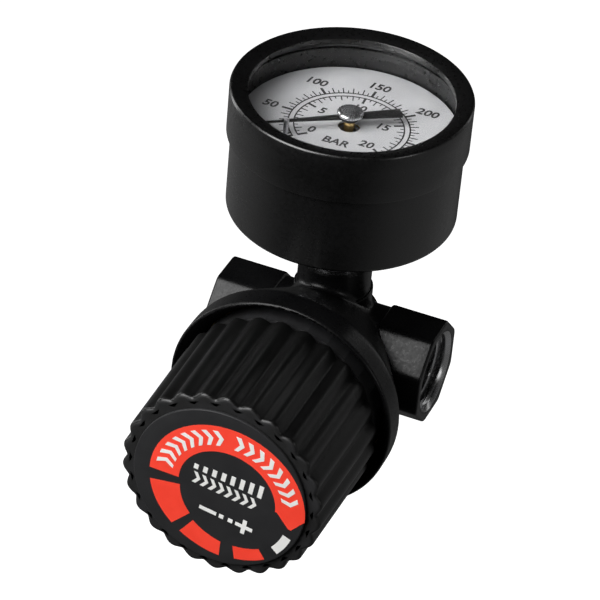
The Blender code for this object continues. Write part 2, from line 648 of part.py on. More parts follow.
def make_pointer(parts, cutters):
    turn = Matrix.Rotation(radians(POINTER_ANGLE), 4, "Z")
    half_widths = ((14.6, 0.12), (7.0, 0.42), (2.0, 0.65), (-2.0, 0.85), (-8.9, 1.15))
    edge = [(x, y) for x, y in half_widths] + [(x, -y) for x, y in reversed(half_widths)]
    pointer = plate("pointer", [edge], POINTER_LOW, POINTER_LOW + POINTER_THICKNESS, parts, turn)
    top = POINTER_LOW + POINTER_THICKNESS
    boss = tube_profile(1.5, 0, POINTER_LOW - 0.9, top)
    bore = tube_profile(ARBOR_RADIUS + GAP, 0, POINTER_LOW - 2, POINTER_LOW)
    join(pointer, turned("pointer_boss_form", boss, cutters, steps=16))
    cut(pointer, turned("pointer_bore_cut", bore, cutters, steps=14))
    dress(pointer, finish_of("pointer_black", (0.01, 0.01, 0.01), 0.4))
    low = top + GAP
    cap = [(0, low + 1.0), (1.6, low + 0.95), (2.1, low + 0.7), (2.25, low + 0.35), (2.25, low), (0, low)]
    cap = smooth(turned("pointer_cap", cap, parts, steps=16))
    dress(cap, finish_of("chrome", (0.8, 0.8, 0.82), 0.08, 1.0))


# ------------------------------------------------------------------ gauge: stem and movement
def make_gauge_socket(parts, cutters):
    """The gauge's threaded stem: its collar shows between the neck and the case, its block is inside."""
    thread = NECK_BORE_RADIUS - GAP
    tip, inner_end, collar_low = NECK_BORE_FLOOR + 0.8, CASE_BOTTOM + 2, NECK_TOP + GAP
    outside = [(0, inner_end), (STEM_RADIUS, inner_end), (STEM_RADIUS, CASE_BOTTOM - GAP)]
    outside += [(COLLAR_RADIUS, CASE_BOTTOM - GAP), (COLLAR_RADIUS, collar_low + 0.3)]
    outside += [(COLLAR_RADIUS - 0.3, collar_low), (thread, collar_low), (thread, tip + 0.6)]
    outside += [(thread - 0.6, tip), (0, tip)]
    socket = turned("gauge_socket", outside, parts, steps=24)
    middle = (BLOCK_LOW + BLOCK_HIGH) / 2
    height = BLOCK_HIGH - BLOCK_LOW
    bar = block("socket_bar_form", (22, 10, height), (0, 0, middle), cutters)
    arm = block("socket_arm_form", (6, 14, height), (0, -9.5, middle), cutters)
    join(socket, bar, arm)
    rise = turned("pressure_way_cut", tube_profile(1.2, 0, NECK_BORE_FLOOR, middle + 0.6), cutters, steps=12)
    way = 0.8
    at = (0, 0, middle)
    along = turned("arm_way_cut", tube_profile(way, 0, 0, 15.4), cutters, FORWARD, at, steps=10)
    at = (0, -14.6, middle)
    across = turned("tube_way_cut", tube_profile(way, 0, 0, 4), cutters, LEFTWARD, at, steps=10)
    cut(socket, rise, along, across)
    hole_radius = SMALL_SCREW_RADIUS + GAP
    case_hole = tube_profile(hole_radius, 0, BLOCK_LOW - 1, BLOCK_HIGH - 1.1)
    pillar_hole = tube_profile(hole_radius, 0, MOVEMENT_SCREW_END - 0.4, BLOCK_HIGH + 1)
    for side, sign in SIDES:
        at = (sign * CASE_SCREW_OFFSET, 0, 0)
        cut(socket, turned(f"block_hole_cut_{side}", case_hole, cutters, at=at, steps=12))
        at = (sign * PILLAR_X, PILLAR_Y, 0)
        cut(socket, turned(f"pillar_hole_cut_{side}", pillar_hole, cutters, at=at, steps=12))
    dress(smooth(socket), black_paint())


def make_bourdon_tube(parts, cutters):
    half = TUBE_THICKNESS / 2
    outline = arc(TUBE_RADIUS + half, TUBE_START, TUBE_END, 20)
    outline += arc(TUBE_RADIUS - half, TUBE_END, TUBE_START, 20)
    tube = plate("bourdon_tube", [outline], BLOCK_LOW + 0.5, BLOCK_HIGH, parts)
    bevel(tube, 0.5, segments=1, angle=60)
    dress(smooth(tube), brass())
    tip_start, tip_end = TUBE_END - 1.3, TUBE_END - 8.0
    outline = arc(16.0, tip_start, tip_end, 4) + arc(14.0, tip_end, tip_start, 4)
    tip = plate("tube_tip", [outline], BLOCK_LOW + 0.5, LINK_LOW - GAP, parts)
    pin = tube_profile(LINK_PIN_RADIUS, 0, LINK_LOW - 1, LINK_LOW + 1)
    join(tip, turned("tip_pin_form", pin, cutters, at=(*TIP_PIN, 0), steps=10))
    dress(tip, brass())


def make_plates(parts, cutters):
    hole_radius = SMALL_SCREW_RADIUS + GAP
    outlines = [rounded_box(14.6, 18.4, 2.0, (0, -4.0))]
    outlines += [circle(hole_radius, 12, (sign * PILLAR_X, PILLAR_Y)) for _, sign in SIDES]
    high = BACK_PLATE_LOW + PLATE_THICKNESS
    dress(plate("back_plate", outlines, BACK_PLATE_LOW, high, parts), brass())
    outlines.append(circle(ARBOR_RADIUS + 0.4, 16))
    high = FRONT_PLATE_LOW + PLATE_THICKNESS
    dress(plate("front_plate", outlines, FRONT_PLATE_LOW, high, parts), brass())
    sleeve_low = BACK_PLATE_LOW + PLATE_THICKNESS + GAP
    head_low = FRONT_PLATE_LOW + PLATE_THICKNESS + GAP
    for side, sign in SIDES:
        at = (sign * PILLAR_X, PILLAR_Y, 0)
        sleeve = tube_profile(1.7, hole_radius, sleeve_low, FRONT_PLATE_LOW - GAP)
        dress(turned(f"pillar_{side}", sleeve, parts, at=at, steps=14), brass())
        screw = [(0, head_low + 0.9), (SMALL_HEAD_RADIUS - 0.3, head_low + 0.9)]
        screw += [(SMALL_HEAD_RADIUS, head_low + 0.6), (SMALL_HEAD_RADIUS, head_low)]
        screw += [(SMALL_SCREW_RADIUS, head_low), (SMALL_SCREW_RADIUS, MOVEMENT_SCREW_END)]
        screw.append((0, MOVEMENT_SCREW_END))
        dress(turned(f"movement_screw_{side}", screw, parts, at=at, steps=14), steel())


def gear_points(radius, teeth, first, last, lead):
    """Points along slim trapezoid teeth. Tooth k is centred k + lead pitches from zero degrees."""
    pitch = 2 * pi / teeth
    tip, root = radius + 0.22, radius - 0.34
    root_half, tip_half = 0.19 / radius, 0.09 / radius
    points = []
    for k in range(first, last + 1):
        middle = pitch * (k + lead)
        for r, offset in ((root, -root_half), (tip, -tip_half), (tip, tip_half), (root, root_half)):
            points.append((r * cos(middle + offset), r * sin(middle + offset)))
    return points


def make_gears(parts, cutters):
    pinion_radius = PINION_TEETH * GEAR_MODULE / 2
    sector_radius = SECTOR_TEETH * GEAR_MODULE / 2
    low = BACK_PLATE_LOW + PLATE_THICKNESS + GAP
    arbor = tube_profile(ARBOR_RADIUS, 0, low, POINTER_LOW - GAP, 0.1)
    arbor = turned("pinion_arbor", arbor, parts, steps=14)
    pinion = gear_points(pinion_radius, PINION_TEETH, 0, PINION_TEETH - 1, 0)
    dress(join(arbor, plate("pinion_form", [pinion], GEAR_LOW, GEAR_HIGH, cutters)), brass())

    pivot = (0, -(pinion_radius + sector_radius))
    pitch = 360 / SECTOR_TEETH
    first, last = SECTOR_TEETH // 4 - 8, SECTOR_TEETH // 4 + 1
    teeth = gear_points(sector_radius, SECTOR_TEETH, first, last, 0.5)
    back = arc(2.2, pitch * (last + 1) + 80, pitch * first - 80 + 360, 9)
    sector = plate("sector_gear", [teeth + back], GEAR_LOW, GEAR_HIGH, parts, at=(*pivot, 0))
    tail = stadium((0, 0), (SECTOR_TAIL, 0), 1.1)
    tail = plate("tail_form", [tail], GEAR_LOW, GEAR_HIGH, cutters, at=(*pivot, 0))
    staff = tube_profile(0.9, 0, low, FRONT_PLATE_LOW - GAP, 0.1)
    staff = turned("staff_form", staff, cutters, at=(*pivot, 0), steps=14)
    pin = tube_profile(LINK_PIN_RADIUS, 0, GEAR_HIGH - 0.5, LINK_LOW + 1)
    pin = turned("tail_pin_form", pin, cutters, at=(SECTOR_TAIL, pivot[1], 0), steps=10)
    dress(join(sector, tail, staff, pin), brass())
    return (SECTOR_TAIL, pivot[1])


def make_link(parts, tail_pin):
    span = (TIP_PIN[0] - tail_pin[0], TIP_PIN[1] - tail_pin[1])
    eye = LINK_PIN_RADIUS + 0.45
    outlines = [stadium((0, 0), span, 1.6), circle(eye, 12), circle(eye, 12, span)]
    dress(plate("link", outlines, LINK_LOW, LINK_LOW + 0.6, parts, at=(*tail_pin, 0)), steel())


def make_hairspring(parts):
    turns = 2.5
    count = int(turns * 12)
    spiral = []
    for i in range(count + 1):
        a = 2 * pi * turns * i / count
        r = 1.4 + 2.2 * i / count
        spiral.append((r * cos(a), r * sin(a), GEAR_LOW - 0.9))
    dress(smooth(rod("hairspring", spiral, 0.12, parts)), steel())


def main():
    clear_scene()
    parts = new_collection("gas_pressure_regulator")
    cutters = new_collection("cutters")
    make_body(parts, cutters)
    make_valve(parts)
    make_bottom_plug(parts, cutters)
    make_inlet_filter(parts)
    make_diaphragm(parts)
    make_spring_and_nut(parts, cutters)
    make_bonnet(parts, cutters)
    make_adjusting_screw(parts, cutters)
    make_knob_screw(parts, cutters)
    make_knob(parts, cutters)
    make_gauge_case(parts, cutters)
    make_dial(parts)
    make_pointer(parts, cutters)
    make_gauge_socket(parts, cutters)
    make_bourdon_tube(parts, cutters)
    make_plates(parts, cutters)
    tail_pin = make_gears(parts, cutters)
    make_link(parts, tail_pin)
    make_hairspring(parts)


main()
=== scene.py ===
"""Looks of the compact gas pressure regulator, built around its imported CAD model.

Lengths are millimetres unless a name says otherwise. The ports lie along X, the gauge's axis is Z and
the knob's axis is -Y; those two cross at AXIS_X, AXIS_Z, and the port axis is at z = 0. "Forward" and `u`
mean distance towards the knob. Heights along the gauge's axis start at AXIS_Z.
"""

import json
from math import cos, pi, radians, sin

import bmesh
import bpy
import numpy as np
from mathutils import Matrix, Vector


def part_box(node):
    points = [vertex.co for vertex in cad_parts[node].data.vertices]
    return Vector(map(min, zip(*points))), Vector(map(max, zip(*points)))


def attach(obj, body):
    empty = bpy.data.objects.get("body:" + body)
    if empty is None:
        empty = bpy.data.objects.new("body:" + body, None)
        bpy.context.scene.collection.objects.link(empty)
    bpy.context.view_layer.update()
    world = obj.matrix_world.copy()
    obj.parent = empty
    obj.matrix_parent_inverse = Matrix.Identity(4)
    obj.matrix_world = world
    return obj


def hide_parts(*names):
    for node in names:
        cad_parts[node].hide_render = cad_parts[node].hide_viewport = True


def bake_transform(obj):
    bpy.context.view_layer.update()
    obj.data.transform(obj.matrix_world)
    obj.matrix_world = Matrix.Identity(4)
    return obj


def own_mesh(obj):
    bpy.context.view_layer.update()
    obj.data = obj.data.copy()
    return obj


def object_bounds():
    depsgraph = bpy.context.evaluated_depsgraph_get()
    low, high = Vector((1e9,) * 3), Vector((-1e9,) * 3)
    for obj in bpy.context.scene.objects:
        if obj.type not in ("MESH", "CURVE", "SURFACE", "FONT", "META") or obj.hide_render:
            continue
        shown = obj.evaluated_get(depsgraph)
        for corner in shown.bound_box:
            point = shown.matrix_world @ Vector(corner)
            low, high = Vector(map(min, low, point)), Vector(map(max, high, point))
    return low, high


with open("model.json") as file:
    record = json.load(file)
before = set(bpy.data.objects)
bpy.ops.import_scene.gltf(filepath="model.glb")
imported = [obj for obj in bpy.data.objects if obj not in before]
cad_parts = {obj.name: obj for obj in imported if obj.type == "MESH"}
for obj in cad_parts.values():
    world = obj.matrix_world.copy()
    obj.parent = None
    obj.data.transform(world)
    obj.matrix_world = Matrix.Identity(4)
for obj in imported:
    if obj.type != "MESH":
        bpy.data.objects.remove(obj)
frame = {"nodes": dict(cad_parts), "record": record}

CAD_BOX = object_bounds()
MM = 0.001
AXIS_X = (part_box("gauge_bezel")[0].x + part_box("gauge_bezel")[1].x) / 2 / MM
AXIS_Z = (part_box("knob_label")[0].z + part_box("knob_label")[1].z) / 2 / MM
ON_PORTS = (0, 0, -AXIS_Z)

UPRIGHT = Matrix.Identity(4)
FORWARD = Matrix.Rotation(radians(90), 4, "X")          # local +Z becomes -Y
RIGHTWARD = Matrix.Rotation(radians(90), 4, "Y")        # local +Z becomes +X
LEFTWARD = Matrix.Rotation(radians(-90), 4, "Y")        # local +Z becomes -X


def reach(node, axis, side):
    """How far a CAD node reaches from the crossing of the axes: side 0 is its low end and 1 its high one."""
    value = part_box(node)[side][axis] / MM
    return value - (AXIS_X, 0, AXIS_Z)[axis]


# ------------------------------------------------------------------ sizes taken from the frame
PORT_FACE = reach("body", 0, 1)
BELL_RADIUS = -reach("body", 2, 0)
RIM_FRONT = -reach("body", 1, 0)
BOSS_END = -reach("body", 1, 1)
NECK_TOP = reach("body", 2, 1)
KNOB_RADIUS = reach("knob", 2, 1)
KNOB_BACK = -reach("knob", 1, 1)
KNOB_FACE = -reach("knob", 1, 0)
LABEL_RADIUS = reach("knob_label", 2, 1)
LABEL_BACK = -reach("knob_label", 1, 1)
LABEL_FACE = -reach("knob_label", 1, 0)
CASE_RADIUS = reach("gauge_case", 1, 1)
CASE_BOTTOM = reach("gauge_case", 2, 0)
CASE_TOP = reach("gauge_case", 2, 1)
BEZEL_RADIUS = reach("gauge_bezel", 1, 1)
BEZEL_BOTTOM = reach("gauge_bezel", 2, 0)
BEZEL_TOP = reach("gauge_bezel", 2, 1)
LENS_RADIUS = reach("gauge_lens", 1, 1)
LENS_LOW = reach("gauge_lens", 2, 0)
LENS_TOP = reach("gauge_lens", 2, 1)
DIAL_RADIUS = reach("dial", 1, 1)
DIAL_LOW = reach("dial", 2, 0)
DIAL_TOP = reach("dial", 2, 1)
CAP_RADIUS = reach("pointer_cap", 1, 1)
CAP_LOW = reach("pointer_cap", 2, 0)
CAP_TOP = reach("pointer_cap", 2, 1)
PLUG_FLANGE_FRONT = BOSS_END - 0.3
PLUG_RADIUS = reach("bottom_plug", 2, 1)
SOCKET_TIP = reach("gauge_socket", 2, 0)
SOCKET_TOP = reach("gauge_socket", 2, 1)
PLUG_BACK = -reach("bottom_plug", 1, 1)
PLUG_FRONT = -reach("bottom_plug", 1, 0)


# ------------------------------------------------------------------ meshes
def new_piece(name, points, faces, turn=UPRIGHT, at=(0, 0, 0), sharp=35):
    """An object at the origin whose mesh is placed by `turn` and by `at`, from the crossing of the axes."""
    mesh = bpy.data.meshes.new(name)
    mesh.from_pydata([tuple(p) for p in points], [], faces)
    mesh.transform(Matrix.Translation((Vector((AXIS_X, 0, AXIS_Z)) + Vector(at)) * MM) @ turn @ Matrix.Scale(MM, 4))
    mesh.shade_smooth()
    mesh.set_sharp_from_angle(angle=radians(sharp))
    piece = bpy.data.objects.new(name, mesh)
    bpy.context.scene.collection.objects.link(piece)
    return piece


def skin(rows, closed):
    """Points and faces between rows that go round an axis. A row of one point is a pole."""
    count = max(len(row) for row in rows)
    points, numbers = [], []
    for row in rows:
        first = len(points)
        points.extend(row)
        numbers.append([first] * count if len(row) == 1 else list(range(first, first + count)))
    pairs = list(zip(numbers, numbers[1:]))
    if closed:
        pairs.append((numbers[-1], numbers[0]))
    faces = []
    for upper, lower in pairs:
        for i in range(count):
            j = (i + 1) % count
            faces.append(list(dict.fromkeys((upper[i], lower[i], lower[j], upper[j]))))
    return points, faces


def turned_rows(profile, steps, section):
    angles = np.arange(steps) * 2 * pi / steps
    rows = []
    for radius, height in profile:
        if radius == 0:
            rows.append([(0, 0, height)])
            continue
        r = np.full(steps, float(radius)) if section is None else section(angles, radius, height)
        rows.append(np.column_stack([r * np.cos(angles), r * np.sin(angles), np.full(steps, height)]).tolist())
    return rows


def turned(name, profile, turn=UPRIGHT, at=(0, 0, 0), steps=128, section=None, sharp=35):
    """A turned solid. Its profile of (radius, height) runs down the outer side; a ring's goes back up its
    inner side. `section` may change a row's radius with the angle."""
    points, faces = skin(turned_rows(profile, steps, section), profile[0][0] > 0)
    return new_piece(name, points, faces, turn, at, sharp)


def tube(outer, inner, low, high):
    return [(outer, high), (outer, low), (inner, low), (inner, high)]


def fillet(centre, radius, start, end, count=6):
    """Profile points of an arc, in degrees: 0 points outwards and 90 up."""
    turns = [radians(start + (end - start) * i / (count - 1)) for i in range(count)]
    return [(centre[0] + radius * cos(a), centre[1] + radius * sin(a)) for a in turns]


def polygon_section(sides, across_flats, applies, turn=0.0):
    """A section that keeps a row inside a regular polygon, at the heights where `applies` says so."""
    def section(angles, radius, height):
        if not applies(height):
            return np.full(len(angles), float(radius))
        wedge = 2 * pi / sides
        offset = (angles - turn + wedge / 2) % wedge - wedge / 2
        return np.minimum(radius, across_flats / 2 / np.cos(offset))
    return section


def strips_mesh(strips, low, high):
    """Thin solids, each between two lines of (x, y) points of the same length."""
    points, faces = [], []
    for one, two in strips:
        count, first = len(one), len(points)
        for height in (low, high):
            points += [(x, y, height) for x, y in one] + [(x, y, height) for x, y in two]
        a, b = first, first + count
        top_a, top_b = first + 2 * count, first + 3 * count
        for i in range(count - 1):
            faces.append((top_a + i, top_a + i + 1, top_b + i + 1, top_b + i))
            faces.append((a + i, b + i, b + i + 1, a + i + 1))
            faces.append((a + i, a + i + 1, top_a + i + 1, top_a + i))
            faces.append((b + i + 1, b + i, top_b + i, top_b + i + 1))
        last = count - 1
        faces.append((a, top_a, top_b, b))
        faces.append((a + last, b + last, top_b + last, top_a + last))
    return points, faces


def printed(name, strips, low, high, turn=UPRIGHT, at=(0, 0, 0)):
    piece = new_piece(name, *strips_mesh(strips, low, high), turn, at)
    face_outwards(piece.data)
    return piece


def face_outwards(mesh):
    shape = bmesh.new()
    shape.from_mesh(mesh)
    bmesh.ops.recalc_face_normals(shape, faces=shape.faces)
    shape.to_mesh(mesh)
    shape.free()


def polar(radius, degrees_round):
    return (radius * cos(radians(degrees_round)), radius * sin(radians(degrees_round)))


def arc_strip(inner, outer, start, end):
    """A band round the centre. `inner` and `outer` are radii, or (radius at start, radius at end)."""
    inner = inner if isinstance(inner, tuple) else (inner, inner)
    outer = outer if isinstance(outer, tuple) else (outer, outer)
    count = max(2, int(abs(end - start) / 2) + 1)
    sides = []
    for first, last in (inner, outer):
        shares = [i / (count - 1) for i in range(count)]
        sides.append([polar(first + (last - first) * s, start + (end - start) * s) for s in shares])
    return tuple(sides)


def bar_strip(start, end, width):
    """A straight bar between two points."""
    run = Vector(end) - Vector(start)
    side = Vector((-run.y, run.x)).normalized() * width / 2
    return (
        [tuple(Vector(start) + side), tuple(Vector(end) + side)],
        [tuple(Vector(start) - side), tuple(Vector(end) - side)],
    )


def merged(name, pieces):
    """One object with the meshes of several, which are removed."""
    shape = bmesh.new()
    for piece in pieces:
        shape.from_mesh(piece.data)
        bpy.data.objects.remove(piece, do_unlink=True)
    mesh = bpy.data.meshes.new(name)
    shape.to_mesh(mesh)
    shape.free()
    piece = bpy.data.objects.new(name, mesh)
    bpy.context.scene.collection.objects.link(piece)
    return piece


def baked_mesh(piece):
    """The piece with its modifiers applied."""
    bpy.context.view_layer.update()
    graph = bpy.context.evaluated_depsgraph_get()
    mesh = bpy.data.meshes.new_from_object(piece.evaluated_get(graph))
    piece.modifiers.clear()
    piece.data = mesh
    return piece


def cut_by(piece, cutter):
    modifier = piece.modifiers.new("cut", "BOOLEAN")
    modifier.operation = "DIFFERENCE"
    modifier.solver = "EXACT"
    modifier.object = cutter
    baked_mesh(piece)
    bpy.data.objects.remove(cutter, do_unlink=True)
    return piece


# ------------------------------------------------------------------ materials
class Shader:
    """A Principled material whose textures follow the object's own coordinates, in metres."""

    def __init__(self, name, **constants):
        self.material = bpy.data.materials.new(name)
        self.material.use_nodes = True
        self.tree = self.material.node_tree
        self.principled = self.tree.nodes["Principled BSDF"]
        self.place = self.tree.nodes.new("ShaderNodeTexCoord").outputs["Object"]
        for socket, value in constants.items():
            self.principled.inputs[socket.replace("_", " ")].default_value = value

    def link(self, output, name):
        self.tree.links.new(output, self.principled.inputs[name])

    def stretched(self, scale):
        node = self.tree.nodes.new("ShaderNodeMapping")
        node.inputs["Scale"].default_value = scale
        self.tree.links.new(self.place, node.inputs["Vector"])
        return node.outputs["Vector"]

    def noise(self, grain_mm, detail=3.0, stretch=None):
        node = self.tree.nodes.new("ShaderNodeTexNoise")
        node.inputs["Scale"].default_value = 1 / (grain_mm * MM)
        node.inputs["Detail"].default_value = detail
        place = self.stretched(stretch) if stretch else self.place
        self.tree.links.new(place, node.inputs["Vector"])
        return node.outputs["Fac"]

    def ranged(self, value, low, high, from_low=0.35, from_high=0.65):
        node = self.tree.nodes.new("ShaderNodeMapRange")
        for name, number in (("From Min", from_low), ("From Max", from_high), ("To Min", low), ("To Max", high)):
            node.inputs[name].default_value = number
        self.tree.links.new(value, node.inputs["Value"])
        return node.outputs["Result"]

    def mixed(self, factor, one, two):
        node = self.tree.nodes.new("ShaderNodeMix")
        node.data_type = "RGBA"
        self.tree.links.new(factor, node.inputs["Factor"])
        for name, colour in (("A", one), ("B", two)):
            socket = [s for s in node.inputs if s.name == name and s.type == "RGBA"][0]
            if isinstance(colour, bpy.types.NodeSocket):
                self.tree.links.new(colour, socket)
            else:
                socket.default_value = (*colour, 1)
        return [s for s in node.outputs if s.type == "RGBA"][0]

    def bump(self, height, depth_mm, strength=1.0):
        node = self.tree.nodes.new("ShaderNodeBump")
        node.inputs["Distance"].default_value = depth_mm * MM
        node.inputs["Strength"].default_value = strength
        self.tree.links.new(height, node.inputs["Height"])
        self.link(node.outputs["Normal"], "Normal")

    def surface(self, dark, light, rough_low, rough_high, patch_mm, grain_mm, depth_mm, stretch=None):
        """Colour that drifts in patches, roughness that follows a finer grain, and that grain as bump."""
        patches = self.ranged(self.noise(patch_mm), 0, 1)
        self.link(self.mixed(patches, dark, light), "Base Color")
        grain = self.noise(grain_mm, 4.0, stretch)
        self.link(self.ranged(grain, rough_low, rough_high), "Roughness")
        if depth_mm:
            self.bump(grain, depth_mm)
        return self.material


def body_enamel():
    shader = Shader("body_enamel", Coat_Weight=0.08, Coat_Roughness=0.25, Specular_IOR_Level=0.14)
    return shader.surface((0.0016, 0.0016, 0.0018), (0.0034, 0.0034, 0.0036), 0.26, 0.4, 9.0, 0.5, 0.004)


def gauge_enamel():
    shader = Shader("gauge_enamel", Coat_Weight=0.2, Coat_Roughness=0.2)
    return shader.surface((0.0016, 0.0016, 0.0016), (0.003, 0.003, 0.0032), 0.26, 0.36, 12.0, 0.7, 0.003)


def knob_plastic():
    shader = Shader("knob_plastic", Specular_IOR_Level=0.33)
    return shader.surface((0.0016, 0.0016, 0.0016), (0.0034, 0.0034, 0.0034), 0.3, 0.42, 7.0, 0.25, 0.004)


# A lighter copy of the knob's plastic for its forward-facing faces: painted light on the knob's front face.
def knob_face_plastic():
    shader = Shader("knob_face_plastic", Specular_IOR_Level=0.25)
    return shader.surface((0.013, 0.013, 0.013), (0.02, 0.02, 0.021), 0.42, 0.55, 4.0, 0.25, 0.004)


def bonnet_plastic():
    shader = Shader("bonnet_plastic")
    return shader.surface((0.007, 0.007, 0.007), (0.011, 0.011, 0.012), 0.45, 0.6, 7.0, 0.3, 0.006)


def label_film():
    shader = Shader("label_film", Specular_IOR_Level=0.2)
    return shader.surface((0.017, 0.017, 0.018), (0.021, 0.021, 0.022), 0.4, 0.5, 6.0, 0.2, 0.002)


def label_red():
    shader = Shader("label_red")
    return shader.surface((0.86, 0.05, 0.026), (0.92, 0.062, 0.034), 0.4, 0.5, 5.0, 0.2, 0.002)


def label_white():
    shader = Shader("label_white")
    return shader.surface((0.72, 0.72, 0.7), (0.8, 0.8, 0.78), 0.4, 0.5, 5.0, 0.2, 0.002)


def dial_enamel():
    shader = Shader("dial_enamel")
    return shader.surface((0.36, 0.36, 0.365), (0.41, 0.41, 0.415), 0.4, 0.5, 14.0, 0.4, 0.001)


def print_ink():
    shader = Shader("print_ink")
    return shader.surface((0.008, 0.008, 0.009), (0.014, 0.014, 0.014), 0.45, 0.6, 3.0, 0.15, 0.001)


def pointer_paint():
    shader = Shader("pointer_paint")
    return shader.surface((0.006, 0.006, 0.006), (0.01, 0.01, 0.01), 0.4, 0.5, 4.0, 0.2, 0.002)


def lens_glass():
    shader = Shader("lens_glass", Transmission_Weight=1.0, IOR=1.45)
    shader.principled.inputs["Base Color"].default_value = (0.98, 0.985, 0.99, 1)
    shader.link(shader.ranged(shader.noise(6.0), 0.005, 0.03), "Roughness")
    return shader.material


def chrome():
    shader = Shader("chrome", Metallic=1.0)
    return shader.surface((0.66, 0.66, 0.67), (0.76, 0.76, 0.77), 0.2, 0.3, 2.0, 0.1, 0.0005)


def plated_steel():
    shader = Shader("plated_steel", Metallic=1.0)
    return shader.surface((0.46, 0.46, 0.48), (0.6, 0.6, 0.62), 0.25, 0.42, 2.5, 0.12, 0.002)


def spring_steel():
    shader = Shader("spring_steel", Metallic=1.0)
    return shader.surface((0.33, 0.33, 0.34), (0.45, 0.45, 0.46), 0.25, 0.4, 1.5, 0.08, 0.002)


def bare_casting():
    shader = Shader("bare_casting", Metallic=1.0)
    return shader.surface((0.3, 0.3, 0.3), (0.4, 0.4, 0.41), 0.2, 0.32, 4.0, 0.1, 0.001)


def brass():
    shader = Shader("brass", Metallic=1.0)
    return shader.surface((0.58, 0.4, 0.16), (0.74, 0.53, 0.23), 0.22, 0.4, 3.0, 0.15, 0.002, (1, 1, 6))


def sintered_bronze():
    shader = Shader("sintered_bronze", Metallic=1.0)
    return shader.surface((0.3, 0.18, 0.08), (0.55, 0.36, 0.17), 0.45, 0.7, 0.3, 0.22, 0.05)


def rubber():
    shader = Shader("rubber")
    return shader.surface((0.014, 0.014, 0.014), (0.022, 0.022, 0.022), 0.65, 0.85, 3.0, 0.12, 0.004)


MATERIALS = {
    "body_paint": body_enamel(), "gauge_paint": gauge_enamel(), "knob_plastic": knob_plastic(),
    "bonnet_plastic": bonnet_plastic(), "label_print": label_film(), "lens_clear": lens_glass(),
    "dial_enamel": dial_enamel(), "pointer_black": pointer_paint(), "chrome_cap": chrome(),
    "plated_steel": plated_steel(), "spring_steel": spring_steel(), "brass": brass(), "rubber": rubber(),
}


def show(piece, body, slot, *nodes, material=None):
    """Gives a piece its finish, lets it ride on a CAD body and stand for the CAD nodes named."""
    piece.data.materials.clear()
    piece.data.materials.append(material or MATERIALS[slot])
    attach(piece, body)
    if nodes:
        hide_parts(*nodes)
    return piece


def dress_kept_nodes():
    """Every CAD node that stays in view gets the finish of its slot in the record."""
    for subpart in frame["record"]["subparts"]:
        node = frame["nodes"][subpart["node"]]
        for place in node.material_slots:
            place.material = MATERIALS[subpart["material_slot"]]


# ------------------------------------------------------------------ the body, as a smooth casting
HUB_RADIUS = 8.4
HUB_REACH = 10.5
PORT_APOTHEM = 17.46 / 2
FLATS_START = 9.9
PORT_CORE = 8.2                 # the round core inside the octagonal flats
NECK_RADIUS = 6.45
BOSS_RADIUS = 6.7
BELL_CONE = (9.3, -2.0, 17.6)   # its small radius, and where it starts and ends forward of the gauge's axis
MOUTH_RADIUS = 7.45             # where the bare metal of a port's thread meets the paint
SOCKET_FLOOR = 7.5
VOXEL = 0.3
CUP = (17.6, 15.0)              # radius, and floor forward of the gauge's axis
CHAMBER = (14.2, 11.0)
STEM_BORE = (3.6, 3.4)
PLUG_BORE = (5.2, 3.4)          # radius, and how far forward it reaches
LEAD_IN = (19.8, 0.62, 3.4)     # radius at the rim's front, how fast it narrows, and its depth
NECK_STEP = (0.45, 8.0, 3.9)    # how far it stands out from the neck, its middle height and half its height
NECK_BORE = (4.9, 9.2)          # radius, and height of its floor


def round_max(a, b, radius):
    """The larger of two distances, with the edge where they meet rounded."""
    corner = np.hypot(np.maximum(a + radius, 0), np.maximum(b + radius, 0))
    return np.minimum(np.maximum(a, b), -radius) + corner


def round_min(a, b, radius):
    return -round_max(-a, -b, radius)


def eased(value, softness):
    """The value where it is above zero and zero below, with the corner eased."""
    return (value + np.sqrt(value**2 + softness**2)) / 2


def bell_radius(u):
    """The body's radius about the knob's axis: rim, conical bell, and rear boss."""
    small, start, end = BELL_CONE
    slope = (BELL_RADIUS - small) / (end - start)
    cone = BELL_RADIUS - slope * eased(end - u, 0.5)
    return BOSS_RADIUS + eased(cone - BOSS_RADIUS, 0.5)


